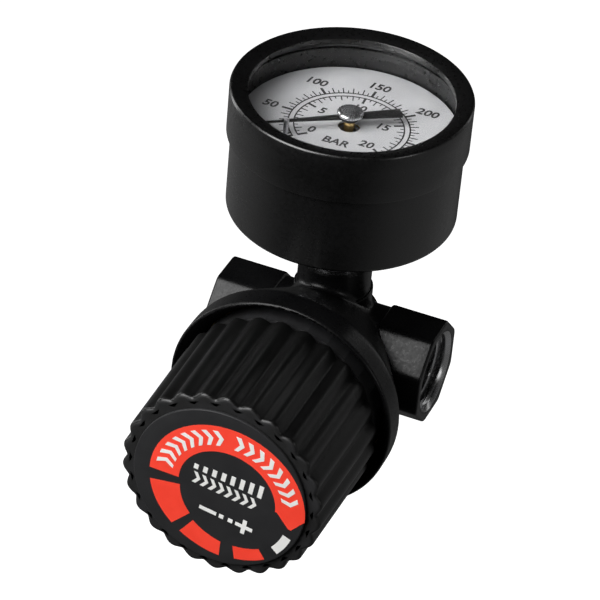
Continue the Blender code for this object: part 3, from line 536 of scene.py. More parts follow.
def body_distance(points):
    """Rough distance from the casting's surface, in millimetres, negative inside."""
    x, u, z = points[:, 0] - AXIS_X, -points[:, 1], points[:, 2] - AXIS_Z
    about_knob, about_ports, about_gauge = np.hypot(x, z), np.hypot(u, z + AXIS_Z), np.hypot(x, u)
    outward = np.abs(x)
    bell = round_max((about_knob - bell_radius(u)) * 0.87, u - RIM_FRONT, 0.5)
    bell = round_max(bell, BOSS_END - u, 0.8)
    hub = round_max(about_ports - HUB_RADIUS, outward - HUB_REACH, 0.4)
    ports = np.maximum(about_ports - PORT_CORE, outward - PORT_FACE + 0.4)
    neck = round_max(round_max(about_gauge - NECK_RADIUS, z - NECK_TOP, 0.35), -z, 0.5)
    stand_out, middle, half_height = NECK_STEP
    step = round_max(about_gauge - NECK_RADIUS - stand_out, np.abs(z - middle) - half_height, 0.2)
    solid = np.minimum(round_min(round_min(bell, hub, 1.6), neck, 1.5), step)
    radius, narrowing, depth = LEAD_IN
    lead_in = np.maximum(about_knob - radius + narrowing * (RIM_FRONT - u), RIM_FRONT - depth - u)
    solid = np.maximum(solid, -lead_in)
    solid = round_min(solid, ports, 0.7)
    cuts = [np.maximum(about_knob - radius, floor - u) for radius, floor in (CUP, CHAMBER, STEM_BORE)]
    cuts.append(np.maximum(about_knob - PLUG_BORE[0], u - PLUG_BORE[1]))
    cuts.append(np.maximum(about_ports - MOUTH_RADIUS + 0.2, SOCKET_FLOOR - outward))
    cuts.append(np.maximum(about_ports - 3.2, x + 1.0))
    cuts.append(np.maximum(np.hypot(x - 10.6, z) - 2.0, 3.0 - u))
    cuts.append(np.maximum(about_gauge - NECK_BORE[0], NECK_BORE[1] - z))
    cuts.append(np.maximum(np.hypot(x, z - 11.6) - 1.3, 2.0 - u))
    return round_max(solid, -np.minimum.reduce(cuts), 0.15)


def slopes(points, step=0.01):
    columns = []
    for axis in range(3):
        shift = np.zeros(3)
        shift[axis] = step
        columns.append((body_distance(points + shift) - body_distance(points - shift)) / (2 * step))
    return np.column_stack(columns)


def settled(points, rounds):
    """The points moved onto the casting's surface, each along the steepest way."""
    for _ in range(rounds):
        slope = slopes(points)
        size = np.maximum((slope**2).sum(1), 0.25)
        move = -(body_distance(points) / size)[:, None] * slope
        length = np.linalg.norm(move, axis=1, keepdims=True)
        points = points + move * np.minimum(1, 0.5 / np.maximum(length, 1e-9))
    return points


def relaxed(points, ends):
    """Each point moved half way to the middle of its neighbours."""
    total, count = np.zeros_like(points), np.zeros(len(points))
    for a, b in (ends.T, ends.T[::-1]):
        np.add.at(total, a, points[b])
        np.add.at(count, a, 1)
    return points * 0.5 + total / count[:, None] * 0.5


def make_body():
    mesh = frame["nodes"]["body"].data.copy()
    piece = bpy.data.objects.new("body_casting", mesh)
    bpy.context.scene.collection.objects.link(piece)
    weld = piece.modifiers.new("weld", "WELD")
    weld.merge_threshold = 1e-6
    remesh = piece.modifiers.new("remesh", "REMESH")
    remesh.mode = "VOXEL"
    remesh.voxel_size = VOXEL * MM
    baked_mesh(piece)
    mesh = piece.data
    points = np.empty(len(mesh.vertices) * 3)
    mesh.vertices.foreach_get("co", points)
    points = points.reshape(-1, 3) / MM
    ends = np.empty(len(mesh.edges) * 2, int)
    mesh.edges.foreach_get("vertices", ends)
    ends = ends.reshape(-1, 2)
    points = settled(points, 4)
    for _ in range(3):
        points = settled(relaxed(points, ends), 2)
    points = settled(points, 2)
    mesh.vertices.foreach_set("co", (points * MM).ravel())
    mesh.update()
    mesh.shade_smooth()
    normals = slopes(points)
    normals /= np.maximum(np.linalg.norm(normals, axis=1, keepdims=True), 1e-9)
    mesh.normals_split_custom_set_from_vertices(normals.tolist())
    show(piece, "regulator", "body_paint", "body")


# ------------------------------------------------------------------ flats and threads of the ports
def octagon_section(angles, radius, height):
    """Rows outside the socket follow an octagon with eased corners; `radius` is its apothem."""
    if radius < MOUTH_RADIUS + 0.3:
        return np.full(len(angles), float(radius))
    wedge = pi / 4
    offset = (angles + wedge / 2) % wedge - wedge / 2
    corner, soft = 1.066, 0.012
    side = 1 / np.cos(offset)
    return radius * ((side + corner) / 2 - np.sqrt((side - corner) ** 2 + soft**2) / 2)


def make_port_flats(name, turn):
    edge, inner = 0.4, MOUTH_RADIUS
    profile = [(inner, PORT_FACE - 0.12), (inner + 0.12, PORT_FACE), (inner + 0.31, PORT_FACE)]
    profile += fillet((PORT_APOTHEM - edge, PORT_FACE - edge), edge, 90, 0)
    profile += [(PORT_APOTHEM, 17), (PORT_APOTHEM, 14), (PORT_APOTHEM, 11)]
    profile += fillet((PORT_APOTHEM - 0.5, FLATS_START + 0.5), 0.5, 0, -90)
    profile += [(inner + 0.31, FLATS_START), (inner, FLATS_START)]
    flats = turned(name, profile, turn, ON_PORTS, steps=256, section=octagon_section, sharp=40)
    show(flats, "regulator", "body_paint")


PITCH = 25.4 / 18               # 1/4 inch taper pipe thread
THREAD_HEIGHT = 0.95


def thread_rows(steps):
    """The inside of a threaded socket, from its floor to its mouth."""
    angles = np.arange(steps) * 2 * pi / steps
    rows = []
    low, high, per_turn = SOCKET_FLOOR + 0.15, PORT_FACE - 0.7, 12
    count = int((high - low) / PITCH * per_turn)
    for j in range(count + 1):
        height = low + (high - low) * j / count
        phase = (height / PITCH - angles / (2 * pi)) % 1
        ridge = np.clip((1 - np.abs(2 * phase - 1)) * 1.25 - 0.1, 0, 1)
        fade = min(1, max(0, (PORT_FACE - 0.5 - height) / 1.6)) * min(1, max(0.0, (height - low) / 1.2))
        root = MOUTH_RADIUS - 0.6 - (PORT_FACE - height) / 32
        r = root - THREAD_HEIGHT * fade * ridge
        rows.append(np.column_stack([r * np.cos(angles), r * np.sin(angles), np.full(steps, height)]).tolist())
    return rows


def make_thread(name, turn):
    steps = 96
    outer = MOUTH_RADIUS - 0.04
    outline = [(outer, PORT_FACE - 0.06), (outer, SOCKET_FLOOR + 0.1), (5.5, SOCKET_FLOOR + 0.1)]
    outside = turned_rows(outline, steps, None)
    mouth = turned_rows([(MOUTH_RADIUS - 0.6, PORT_FACE - 0.62), (MOUTH_RADIUS - 0.1, PORT_FACE - 0.1)], steps, None)
    points, faces = skin(outside + thread_rows(steps) + mouth, True)
    piece = new_piece(name, points, faces, turn, ON_PORTS, sharp=30)
    show(piece, "regulator", "plated_steel", material=BARE_CASTING)


def make_inlet_filter():
    low, high = SOCKET_FLOOR + 0.6, SOCKET_FLOOR + 2.1
    profile = [(0, high)] + fillet((5.6, high - 0.3), 0.3, 90, 0) + [(5.9, low), (0, low)]
    show(turned("inlet_filter_disc", profile, LEFTWARD, ON_PORTS, steps=72), "regulator", "brass", "inlet_filter",
         material=SINTERED_BRONZE)


# ------------------------------------------------------------------ rear plug
def make_bottom_plug():
    """The plug's round head, with a hexagonal recess for a key."""
    recess_floor, across_flats = PLUG_BACK + 1.6, 5.0
    profile = [(0, PLUG_FRONT), (4.6, PLUG_FRONT), (4.9, PLUG_FRONT - 0.3), (4.9, PLUG_FLANGE_FRONT)]
    profile += fillet((PLUG_RADIUS - 0.2, PLUG_FLANGE_FRONT - 0.2), 0.2, 90, 0, 4)
    profile += fillet((PLUG_RADIUS - 0.4, PLUG_BACK + 0.4), 0.4, 0, -90)
    profile += [(3.2, PLUG_BACK), (2.9, PLUG_BACK + 0.2), (2.9, recess_floor), (0, recess_floor + 0.4)]
    section = polygon_section(6, across_flats, lambda height: PLUG_BACK + 0.1 < height <= recess_floor)
    plug = turned("rear_plug", profile, FORWARD, steps=144, section=section, sharp=25)
    show(plug, "regulator", "brass", "bottom_plug")


# ------------------------------------------------------------------ knob
RIBS = 26
RIB_DEPTH = 0.85
KNOB_TAPER = 0.4
KNOB_HOLLOW = 16.2
KNOB_CEILING = 42.2
KNOB_POCKET = (5.2, 43.9)
DRIVE_HOLE = 3.6
PER_RIB = 16


def knob_radius(height):
    """Over the ribs, which taper towards the front."""
    return KNOB_RADIUS - KNOB_TAPER * (height - KNOB_BACK) / (KNOB_FACE - KNOB_BACK)


def knob_section(angles, radius, height):
    """Rounded ribs that meet in narrow valleys; a row further in than a valley stays round."""
    if radius < KNOB_HOLLOW + 0.4:
        return np.full(len(angles), float(radius))
    bulge = (0.5 - 0.5 * np.cos(RIBS * angles)) ** 0.7
    inset = KNOB_RADIUS - radius
    share = min(1.0, max(0.0, (radius - KNOB_HOLLOW - 0.4) / 0.5))
    return knob_radius(height) - inset - RIB_DEPTH * (1 - bulge) * share


def make_knob():
    pocket, floor = KNOB_POCKET
    front = 0.7
    profile = [(DRIVE_HOLE, floor), (pocket, floor), (pocket, KNOB_FACE), (15.0, KNOB_FACE), (16.5, KNOB_FACE)]
    profile += [(17.2, KNOB_FACE)] + fillet((KNOB_RADIUS - front, KNOB_FACE - front), front, 90, 0, 8)
    straight = 12
    back_edge = 0.4
    top, low = KNOB_FACE - front, KNOB_BACK + back_edge
    profile += [(KNOB_RADIUS, top + (low - top) * i / straight) for i in range(1, straight)]
    profile += fillet((KNOB_RADIUS - back_edge, KNOB_BACK + back_edge), back_edge, 0, -90)
    profile += [(17.2, KNOB_BACK), (16.8, KNOB_BACK + 0.1), (KNOB_HOLLOW, KNOB_BACK + 1.0)]
    profile += [(KNOB_HOLLOW, KNOB_CEILING - 1.4), (14.8, KNOB_CEILING), (DRIVE_HOLE, KNOB_CEILING)]
    knob = turned("knob_shell", profile, FORWARD, steps=RIBS * PER_RIB, section=knob_section, sharp=50)
    show(knob, "knob", "knob_plastic", "knob")
    # Faces that look forward take the lighter copy of the plastic: painted light on the front face.
    knob.data.materials.append(KNOB_PLASTIC_PAINTED_LIT_FRONT)
    for face in knob.data.polygons:
        if face.normal.y < -0.8:
            face.material_index = 1


# ------------------------------------------------------------------ knob label
PRINT = 0.03                    # thickness of printed marks
BAND = (8.4, 13.5)              # inner and outer radius of the red scale
PRINT_TURN = -9.0               # degrees that the rows of marks lean
# The print sits a little off the knob's axis and is a touch wider than it is high.
PRINT_PLACE = Matrix(((1.033, -0.012, 0, 1.5 * MM), (-0.012, 0.99, 0, -0.6 * MM), (0, 0, 1, 0), (0, 0, 0, 1)))


def chevron(middle_angle, radius, height, width, thickness):
    """An arrow head that points clockwise round the label."""
    back = middle_angle + np.degrees(width / radius) / 2
    front = middle_angle - np.degrees(width / radius) / 2
    inner, outer = radius - height / 2, radius + height / 2
    lead = np.degrees(thickness / radius)
    one = [polar(inner, back), polar(radius, front), polar(outer, back)]
    two = [polar(inner, back + lead), polar(radius, front + lead), polar(outer, back + lead)]
    return one, two


def row_mark(row, x, low, high, width):
    """An upright bar of a row of marks; the row leans by PRINT_TURN about its own middle."""
    ends = [Matrix.Rotation(radians(PRINT_TURN), 2) @ Vector((x, y)) + Vector(row) for y in (low, high)]
    return bar_strip(*ends, width)


def row_arrow(row, x, height, width, thickness):
    """An arrow head of a row of marks, pointing along the row."""
    sides = []
    for shift in (0, thickness):
        points = [(x + shift, -height / 2), (x + shift + width, 0), (x + shift, height / 2)]
        sides.append([tuple(Matrix.Rotation(radians(PRINT_TURN), 2) @ Vector(p) + Vector(row)) for p in points])
    return tuple(sides)


def make_label():
    edge = 0.2
    film = LABEL_FACE - 2 * PRINT
    profile = [(0, film)] + [(r, film) for r in (4, 8, 12)]
    profile += fillet((LABEL_RADIUS - edge, film - edge), edge, 90, 0, 5)
    profile += [(LABEL_RADIUS, LABEL_BACK), (0, LABEL_BACK)]
    show(turned("label_disc", profile, FORWARD, steps=160), "knob", "label_print", "knob_label")
    turn = FORWARD @ PRINT_PLACE
    low, red_top, white_top = film - PRINT, LABEL_FACE - PRINT, LABEL_FACE
    inner, outer = BAND
    red = [arc_strip(inner, outer, 178.5, -2.2)]
    red.append(([polar(inner + 0.3, -2.2), polar(11.2, -15.6)], [polar(outer, -2.2), polar(11.7, -15.4)]))
    red.append(arc_strip((8.2, 9.0), outer, -171.5, -133))
    red.append(arc_strip((9.6, 10.5), outer, -125, -93))
    red.append(arc_strip((10.6, 11.1), 13.2, -81.5, -57))
    show(printed("label_red_scale", red, low, red_top, turn), "knob", "label_print", material=LABEL_RED)
    white = [arc_strip((11.0, 11.4), (12.5, 12.9), -24.5, -44.2)]
    middle = (inner + outer) / 2 + 0.15
    spots = [164 - 9.5 * i for i in range(8)] + [79 - 9.7 * i for i in range(8)]
    white += [chevron(angle, middle, 2.9, 0.85, 0.8) for angle in spots]
    first, second, third = (0.2, 3.6), (0.0, 0.5), (0.1, -5.2)
    white += [row_mark(first, -5.6 + 1.6 * i, -1.3, -0.3 + 0.23 * i, 0.75) for i in range(8)]
    white += [row_arrow(second, -6.0 + 1.42 * i, 2.3, 0.7, 0.62) for i in range(8)]
    for centre in (-3.2, 3.2):
        lean = Matrix.Rotation(radians(PRINT_TURN), 2)
        ends = [lean @ Vector((centre + side, 0)) + Vector(third) for side in (-1.5, 1.5)]
        white.append(bar_strip(*ends, 0.7))
    white += [row_mark(third, 3.2, low_end, high_end, 0.7) for low_end, high_end in ((-1.5, -0.35), (0.35, 1.5))]
    white += [row_mark(third, x, -0.4, 0.4, 0.8) for x in (-0.8, 0.8)]
    show(printed("label_white_marks", white, low, white_top, turn), "knob", "label_print", material=LABEL_WHITE)


# ------------------------------------------------------------------ gauge case, bezel, lens and gasket
CASE_BORE = 18.95
LEDGE = (18.2, DIAL_LOW - 0.3)


def make_gauge_shells():
    corner, wall, stem_hole = 1.0, 0.7, 5.5
    floor = CASE_BOTTOM + wall
    profile = [(CASE_RADIUS, CASE_TOP)] + [(CASE_RADIUS, BEZEL_BOTTOM - 6 * i) for i in range(2)]
    profile += fillet((CASE_RADIUS - corner, CASE_BOTTOM + corner), corner, 0, -90, 10)
    profile += [(14, CASE_BOTTOM), (stem_hole, CASE_BOTTOM), (stem_hole, floor), (LEDGE[0] - 1.4, floor)]
    profile += [(LEDGE[0], floor + 1.4), LEDGE, (CASE_BORE, LEDGE[1]), (CASE_BORE, CASE_TOP)]
    show(turned("case_shell", profile, steps=160), "regulator", "gauge_paint", "gauge_case")

    opening, lip_top, lip_outer = 17.4, BEZEL_TOP - 0.72, 20.05
    profile = fillet((opening + 0.16, lip_top - 0.1), 0.16, 180, 110, 4)
    profile += fillet((lip_outer - 0.05, BEZEL_TOP - 0.45), 0.45, 105, 0, 7)
    profile[-1] = (BEZEL_RADIUS, BEZEL_TOP - 0.5)
    profile += [(BEZEL_RADIUS, BEZEL_TOP - 3), (BEZEL_RADIUS, BEZEL_TOP - 6)]
    profile += fillet((BEZEL_RADIUS - 0.25, BEZEL_BOTTOM + 0.25), 0.25, 0, -90, 5)
    inside = CASE_RADIUS + 0.3
    profile += [(inside, BEZEL_BOTTOM), (inside, LENS_TOP + 0.3), (opening, LENS_TOP + 0.3)]
    show(turned("bezel_ring", profile, steps=160, sharp=50), "regulator", "gauge_paint", "gauge_bezel")

    edge = 0.12
    profile = [(0, LENS_TOP), (8, LENS_TOP), (16, LENS_TOP), (LENS_RADIUS - edge, LENS_TOP)]
    profile += [(LENS_RADIUS, LENS_TOP - edge), (LENS_RADIUS, LENS_LOW + edge), (LENS_RADIUS - edge, LENS_LOW)]
    profile += [(16, LENS_LOW), (8, LENS_LOW), (0, LENS_LOW)]
    lens = turned("lens_disc", profile, steps=128)
    lens.visible_shadow = False
    show(lens, "regulator", "lens_clear", "gauge_lens")

    low, high = CASE_TOP + 0.3, LENS_LOW - 0.3
    middle, half = (low + high) / 2, (high - low) / 2
    profile = fillet((LENS_RADIUS - half, middle), half, 90, -90, 7)
    profile += fillet((CASE_BORE + half, middle), half, -90, -270, 7)
    show(turned("gasket_ring", profile, steps=128, sharp=60), "regulator", "rubber", "lens_gasket")


# ------------------------------------------------------------------ dial
DIAL_HOLE = 1.9
ZERO = 225.0                    # degrees on the dial, anticlockwise from +X
PER_PSI = 0.9
PSI_PER_BAR = 14.5038
ITALIC = 0.12


def psi_angle(pressure):
    return ZERO - PER_PSI * pressure


def written(text, size, place, height, low, weight):
    """Generic figures in Blender's own font, as a thin solid on the dial."""
    curve = bpy.data.curves.new("figures", "FONT")
    curve.body = text
    curve.size = size * MM
    curve.shear = ITALIC
    curve.offset = weight * MM
    curve.align_x, curve.align_y = "CENTER", "CENTER"
    curve.extrude = height / 2 * MM
    curve.resolution_u = 4
    piece = bpy.data.objects.new("figures", curve)
    bpy.context.scene.collection.objects.link(piece)
    bpy.context.view_layer.update()
    graph = bpy.context.evaluated_depsgraph_get()
    mesh = bpy.data.meshes.new_from_object(piece.evaluated_get(graph))
    bpy.data.objects.remove(piece, do_unlink=True)
    spot = Vector((AXIS_X + place[0], place[1], AXIS_Z + low + height / 2)) * MM
    mesh.transform(Matrix.Translation(spot))
    made = bpy.data.objects.new("figures", mesh)
    bpy.context.scene.collection.objects.link(made)
    return made


def make_dial():
    rim = 0.12
    profile = [(DIAL_HOLE, DIAL_TOP), (6, DIAL_TOP), (12, DIAL_TOP)]
    profile += fillet((DIAL_RADIUS - rim, DIAL_TOP - rim), rim, 90, 0, 4)
    profile += [(DIAL_RADIUS, DIAL_LOW), (DIAL_HOLE, DIAL_LOW)]
    show(turned("dial_plate", profile, steps=144), "regulator", "dial_enamel", "dial")

    low, high = DIAL_TOP - 0.01, DIAL_TOP + PRINT
    marks = [arc_strip(10.16, 10.4, psi_angle(0) + 0.4, psi_angle(300) - 0.4)]
    for step in range(61):
        pressure = 5 * step
        bold, long = pressure % 50 == 0, pressure % 10 == 0
        outer = 12.2 if bold else 11.8 if long else 11.1
        width = 0.46 if bold else 0.2 if long else 0.17
        angle = psi_angle(pressure)
        marks.append(bar_strip(polar(10.2, angle), polar(outer, angle), width))
    last_bar = 300 / PSI_PER_BAR
    marks.append(arc_strip(9.18, 9.42, psi_angle(0) + 0.4, psi_angle(300) - 0.4))
    for step in range(int(last_bar * 2) + 1):
        bars = step / 2
        bold, long = bars % 5 == 0, bars % 1 == 0
        inner = 7.6 if bold else 8.0 if long else 8.6
        width = 0.42 if bold else 0.2 if long else 0.17
        angle = psi_angle(bars * PSI_PER_BAR)
        marks.append(bar_strip(polar(9.38, angle), polar(inner, angle), width))
    show(printed("dial_scales", marks, low, high), "regulator", "dial_enamel", material=INK)

    figures = []
    for pressure in range(0, 301, 50):
        radius = {150: 13.75}.get(pressure, 14.4)
        angle = psi_angle(pressure)
        figures.append(written(str(pressure), 2.6, polar(radius, angle), high - low, low, 0.06))
    for bars, radius, angle in ((0, 6.6, 217.6), (5, 6.2, psi_angle(5 * PSI_PER_BAR)), (10, 6.0, 96),
                                (15, 5.6, 26), (20, 6.0, -40)):
        figures.append(written(str(bars), 2.5, polar(radius, angle), high - low, low, 0.055))
    figures.append(written("BAR", 2.5, polar(5.6, -92.6), high - low, low, 0.05))
    figures.append(written("PSI", 2.3, polar(11.9, -90), high - low, low, 0.05))
    show(merged("dial_figures", figures), "regulator", "dial_enamel", material=INK)


# ------------------------------------------------------------------ pointer, cap and stop pin
POINTER_ANGLE = 216.0
POINTER_LOW = CAP_LOW - 0.7
POINTER_TOP = CAP_LOW - 0.3
HALF_WIDTHS = ((14.6, 0.1), (7.0, 0.42), (2.0, 0.65), (-2.0, 0.85), (-8.9, 1.15))
STOP_PIN = (11.2, 220.7)


def make_pointer():
    turn = Matrix.Rotation(radians(POINTER_ANGLE), 4, "Z")
    one = [(x, y) for x, y in HALF_WIDTHS]
    two = [(x, -y) for x, y in HALF_WIDTHS]
    needle = printed("needle", [(one, two)], POINTER_LOW, POINTER_TOP, turn)
    bevel = needle.modifiers.new("edges", "BEVEL")
    bevel.width, bevel.segments, bevel.limit_method = 0.06 * MM, 2, "ANGLE"
    bevel.angle_limit = radians(50)
    baked_mesh(needle)
    collar = turned("collar", tube(1.5, 0.85, POINTER_LOW - 0.25, POINTER_LOW + 0.01), steps=48)
    piece = merged("pointer_needle", [needle, collar])
    piece.data.shade_smooth()
    piece.data.set_sharp_from_angle(angle=radians(35))
    show(piece, "pointer", "pointer_black", "pointer")

    bush = [(0.95, POINTER_LOW - 0.26), (0.95, POINTER_LOW - 1.9), (0.85, POINTER_LOW - 2.0), (0.81, POINTER_LOW - 2.0)]
    bush.append((0.81, POINTER_LOW - 0.26))
    show(turned("pointer_bush", bush, steps=48), "pointer", "brass")

    edge = 0.35
    rise = CAP_TOP - CAP_LOW - edge
    dome = [(CAP_RADIUS * sin(radians(9 * i)), CAP_TOP - rise + rise * cos(radians(9 * i))) for i in range(11)]
    profile = [(0, CAP_TOP)] + dome[1:]
    profile += [(CAP_RADIUS, CAP_LOW + 0.05), (CAP_RADIUS - 0.05, CAP_LOW), (0, CAP_LOW)]
    show(turned("pointer_hub", profile, steps=64, sharp=50), "pointer", "chrome_cap", "pointer_cap")

    radius, low, high = 0.45, DIAL_LOW - 0.2, reach("stop_pin", 2, 1)
    profile = [(0, high)] + fillet((radius - 0.15, high - 0.15), 0.15, 90, 0, 4) + [(radius, low), (0, low)]
    pin = turned("stop_peg", profile, at=(*polar(*STOP_PIN), 0), steps=32)
    show(pin, "regulator", "plated_steel", "stop_pin")


# ------------------------------------------------------------------ gauge socket and case screws
def make_gauge_socket():
    """The gauge's threaded stem with its painted collar, and the block inside the case."""
    collar_low, collar_high = NECK_TOP + 0.3, CASE_BOTTOM - 0.3
    collar, bare = 6.4, 0.22
    profile = [(0, SOCKET_TOP - 0.3), (5.2, SOCKET_TOP - 0.3), (5.2, collar_high)]
    profile += fillet((collar - 0.25, collar_high - 0.25), 0.25, 90, 0, 4)
    profile += [(collar, collar_low + bare), (0, collar_low + bare)]
    low, high = SOCKET_TOP - 4.6, SOCKET_TOP
    shapes = [turned("stem", profile, steps=96)]
    for size, centre in (((22, 10), (0, 0)), ((6, 14), (0, -9.5))):
        w, d = size[0] / 2, size[1] / 2
        outline = [(centre[0] - w, centre[1] - d), (centre[0] + w, centre[1] - d)]
        other = [(centre[0] - w, centre[1] + d), (centre[0] + w, centre[1] + d)]
        bar = printed("bar", [(outline, other)], low, high)
        bevel = bar.modifiers.new("edges", "BEVEL")
        bevel.width, bevel.segments = 0.4 * MM, 3
        shapes.append(baked_mesh(bar))
    piece = merged("gauge_stem", shapes)
    piece.data.shade_smooth()
    piece.data.set_sharp_from_angle(angle=radians(25))
    show(piece, "regulator", "gauge_paint", "gauge_socket")

    profile = [(0, collar_low + bare)] + fillet((collar - 0.2, collar_low + 0.2), 0.2, 0, -90, 5)
    profile += [(4.6, collar_low), (4.6, SOCKET_TIP + 0.6), (4.0, SOCKET_TIP), (0, SOCKET_TIP)]
    show(turned("gauge_stem_thread", profile, steps=96), "regulator", "plated_steel")


def make_bare_rings():
    """The machined top of the neck, and the movement's bush that shows through the dial's hole."""
    top, outer = NECK_TOP, NECK_RADIUS + 0.03
    inner = NECK_BORE[0] + 0.05
    profile = [(outer - 0.1, top + 0.02), (outer, top - 0.08), (outer, top - 0.26)]
    profile += [(inner, top - 0.26), (inner, top + 0.02)]
    show(turned("neck_rim", profile, steps=160), "regulator", "body_paint", material=BARE_CASTING)
    profile = tube(1.86, 1.25, DIAL_LOW - 1.6, DIAL_LOW - 0.25)
    show(turned("plate_bush", profile, steps=48), "regulator", "plated_steel")


def make_case_screws():
    under, head, shank = CASE_BOTTOM - 0.3, 1.6, 0.8
    for side, sign in (("left", -1), ("right", 1)):
        profile = [(0, under + 4.0), (shank, under + 4.0), (shank, under), (head, under)]
        profile += fillet((head - 0.5, under - 0.6), 0.5, 0, -90, 6) + [(0, under - 1.1)]
        screw = turned(f"case_screw_fine_{side}", profile, at=(sign * 8.0, 0, 0), steps=48)
        slot_low, slot_high = under - 1.3, under - 0.6
        slot = printed("slot", [bar_strip((-2, 0), (2, 0), 0.42)], slot_low, slot_high, at=(sign * 8.0, 0, 0))
        show(cut_by(screw, slot), "regulator", "plated_steel", f"case_screw_{side}")


# ------------------------------------------------------------------ studio
def make_studio():
    """A white floor and backdrop. Only the camera sees them, so that they don't light the part."""
    material = bpy.data.materials.new("pale_paper")
    material.use_nodes = True
    shader = material.node_tree.nodes["Principled BSDF"]
    shader.inputs["Base Color"].default_value = (0.9, 0.9, 0.9, 1)
    shader.inputs["Roughness"].default_value = 0.9
    shader.inputs["Emission Color"].default_value = (1, 1, 1, 1)
    shader.inputs["Emission Strength"].default_value = 1.0
    half, floor_height, backdrop_radius = 4.0, -0.5, 5.0
    shape = bmesh.new()
    bmesh.ops.create_grid(shape, x_segments=1, y_segments=1, size=half)
    bmesh.ops.translate(shape, verts=shape.verts, vec=(0, 0, floor_height))
    floor = bpy.data.meshes.new("floor")
    shape.to_mesh(floor)
    shape.free()
    shape = bmesh.new()
    bmesh.ops.create_icosphere(shape, subdivisions=3, radius=backdrop_radius)
    backdrop = bpy.data.meshes.new("backdrop")
    shape.to_mesh(backdrop)
    shape.free()
    for mesh in (floor, backdrop):
        mesh.materials.append(material)
        piece = bpy.data.objects.new(mesh.name, mesh)
        bpy.context.scene.collection.objects.link(piece)
        piece.visible_diffuse = False
        piece.visible_glossy = False
        piece.visible_transmission = False
        piece.visible_shadow = False


def direction(azimuth, elevation):
    """Towards a place round the object. Azimuth 0 is in front, where the knob points, and 90 is at +X."""
    a, e = radians(azimuth), radians(elevation)
    return Vector((sin(a) * cos(e), -cos(a) * cos(e), sin(e)))


def add_softbox(name, azimuth, elevation, distance, width, height, watts):
    centre = (CAD_BOX[0] + CAD_BOX[1]) / 2
    light = bpy.data.lights.new(name, "AREA")
    light.shape = "RECTANGLE"
    light.size, light.size_y, light.energy = width, height, watts
    lamp = bpy.data.objects.new(name, light)
    bpy.context.scene.collection.objects.link(lamp)
    lamp.location = centre + direction(azimuth, elevation) * distance
    lamp.rotation_mode = "QUATERNION"
    lamp.rotation_quaternion = direction(azimuth, elevation).to_track_quat("Z", "Y")
    lamp.visible_camera = False


WORLD_BASE = 0.08               # strength of the studio where no lobe reaches
# Each lobe's azimuth, elevation and half width in degrees, and its strength.
WORLD_LOBES = (
    (-105, -30, 60, 4.0),
    (112, -30, 70, 4.5),
    (-55, -30, 45, 0.6),
    (20, -40, 110, 0.5),
    (180, 20, 70, 0.15),
)


def make_world():
    """A dim studio, brighter low down at both sides: soft lobes round a few directions."""
    world = bpy.data.worlds.new("studio_world")
    bpy.context.scene.world = world
    world.use_nodes = True
    tree = world.node_tree
    place = tree.nodes.new("ShaderNodeTexCoord").outputs["Generated"]
    total = None
    for azimuth, elevation, spread, strength in WORLD_LOBES:
        dot = tree.nodes.new("ShaderNodeVectorMath")
        dot.operation = "DOT_PRODUCT"
        tree.links.new(place, dot.inputs[0])
        dot.inputs[1].default_value = direction(azimuth, elevation)
        lobe = tree.nodes.new("ShaderNodeMapRange")
        lobe.interpolation_type = "SMOOTHSTEP"
        lobe.inputs["From Min"].default_value = cos(radians(spread))
        lobe.inputs["From Max"].default_value = 1.0
        lobe.inputs["To Min"].default_value = 0.0
        lobe.inputs["To Max"].default_value = strength
        tree.links.new(dot.outputs["Value"], lobe.inputs["Value"])
        if total is None:
            total = lobe.outputs["Result"]
            continue
        add = tree.nodes.new("ShaderNodeMath")
        add.operation = "ADD"
        tree.links.new(total, add.inputs[0])
        tree.links.new(lobe.outputs["Result"], add.inputs[1])
        total = add.outputs["Value"]
    base = tree.nodes.new("ShaderNodeMath")
    base.operation = "ADD"
    base.inputs[1].default_value = WORLD_BASE
    tree.links.new(total, base.inputs[0])
    tree.links.new(base.outputs["Value"], tree.nodes["Background"].inputs["Strength"])


def make_lights():
    make_world()
    add_softbox("key", -38, 42, 0.5, 0.4, 0.4, 5.2)
    add_softbox("port_light", 72, 14, 0.5, 0.16, 0.16, 0.22)
    add_softbox("left_edge", -105, 12, 0.5, 0.12, 0.5, 0.8)
    add_softbox("right_edge", 150, 15, 0.55, 0.08, 0.5, 0.15)
    bpy.context.scene.view_settings.view_transform = "Standard"


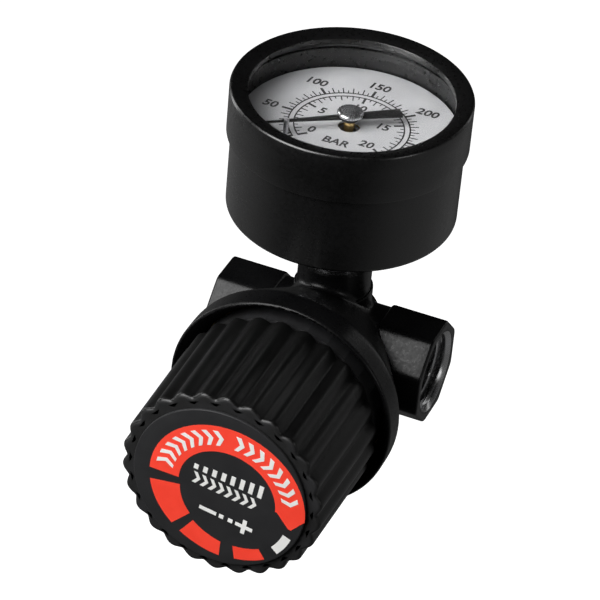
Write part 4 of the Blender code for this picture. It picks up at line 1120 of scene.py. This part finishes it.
def make_camera():
    azimuth, elevation, roll = 19.680, 35.742, 5.260
    camera = bpy.data.cameras.new("camera")
    camera.sensor_width = 36
    camera.lens = 198.837
    viewer = bpy.data.objects.new("camera", camera)
    bpy.context.scene.collection.objects.link(viewer)
    turn = Matrix.Rotation(radians(azimuth), 4, "Z") @ Matrix.Rotation(radians(90 - elevation), 4, "X")
    place = Matrix.Translation((0.172128, -0.441697, 0.343873))
    viewer.matrix_world = place @ turn @ Matrix.Rotation(radians(roll), 4, "Z")
    bpy.context.scene.camera = viewer


BARE_CASTING = bare_casting()
KNOB_PLASTIC_PAINTED_LIT_FRONT = knob_face_plastic()
SINTERED_BRONZE = sintered_bronze()
LABEL_RED = label_red()
LABEL_WHITE = label_white()
INK = print_ink()


# ------------------------------------------------------------------ pieces that flex
def flexing_copy(node):
    """A copy of a CAD node in the node's place, with the node's finish, standing in for the node, which is hidden."""
    slot = [part["material_slot"] for part in frame["record"]["subparts"] if part["node"] == node][0]
    source = frame["nodes"][node]
    piece = bpy.data.objects.new(node + "_flexing", source.data.copy())
    bpy.context.scene.collection.objects.link(piece)
    piece.matrix_world = source.matrix_world
    bpy.context.view_layer.update()
    piece.data.transform(piece.matrix_world)
    piece.matrix_world = Matrix.Identity(4)
    piece.data.materials.clear()
    piece.data.materials.append(MATERIALS[slot])
    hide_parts(node)
    return piece


def make_flexing():
    """Copies of the two springs, the Bourdon tube and the diaphragm take the nodes' places; the diaphragm rides on the
    regulator.
    """
    for node, body in (("range_spring", "spring_nut"), ("valve_spring", "poppet")):
        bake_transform(flexing_copy(node))
    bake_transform(flexing_copy("bourdon_tube"))
    piece = flexing_copy("diaphragm")
    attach(piece, "regulator")
    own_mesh(piece)


def main():
    make_camera()
    make_studio()
    make_lights()
    dress_kept_nodes()
    make_body()
    make_port_flats("inlet_flats", LEFTWARD)
    make_port_flats("outlet_flats", RIGHTWARD)
    make_thread("inlet_thread", LEFTWARD)
    make_thread("outlet_thread", RIGHTWARD)
    make_inlet_filter()
    make_bottom_plug()
    make_knob()
    make_label()
    make_gauge_shells()
    make_dial()
    make_pointer()
    make_gauge_socket()
    make_case_screws()
    make_bare_rings()
    make_flexing()
    bpy.context.view_layer.update()


main()
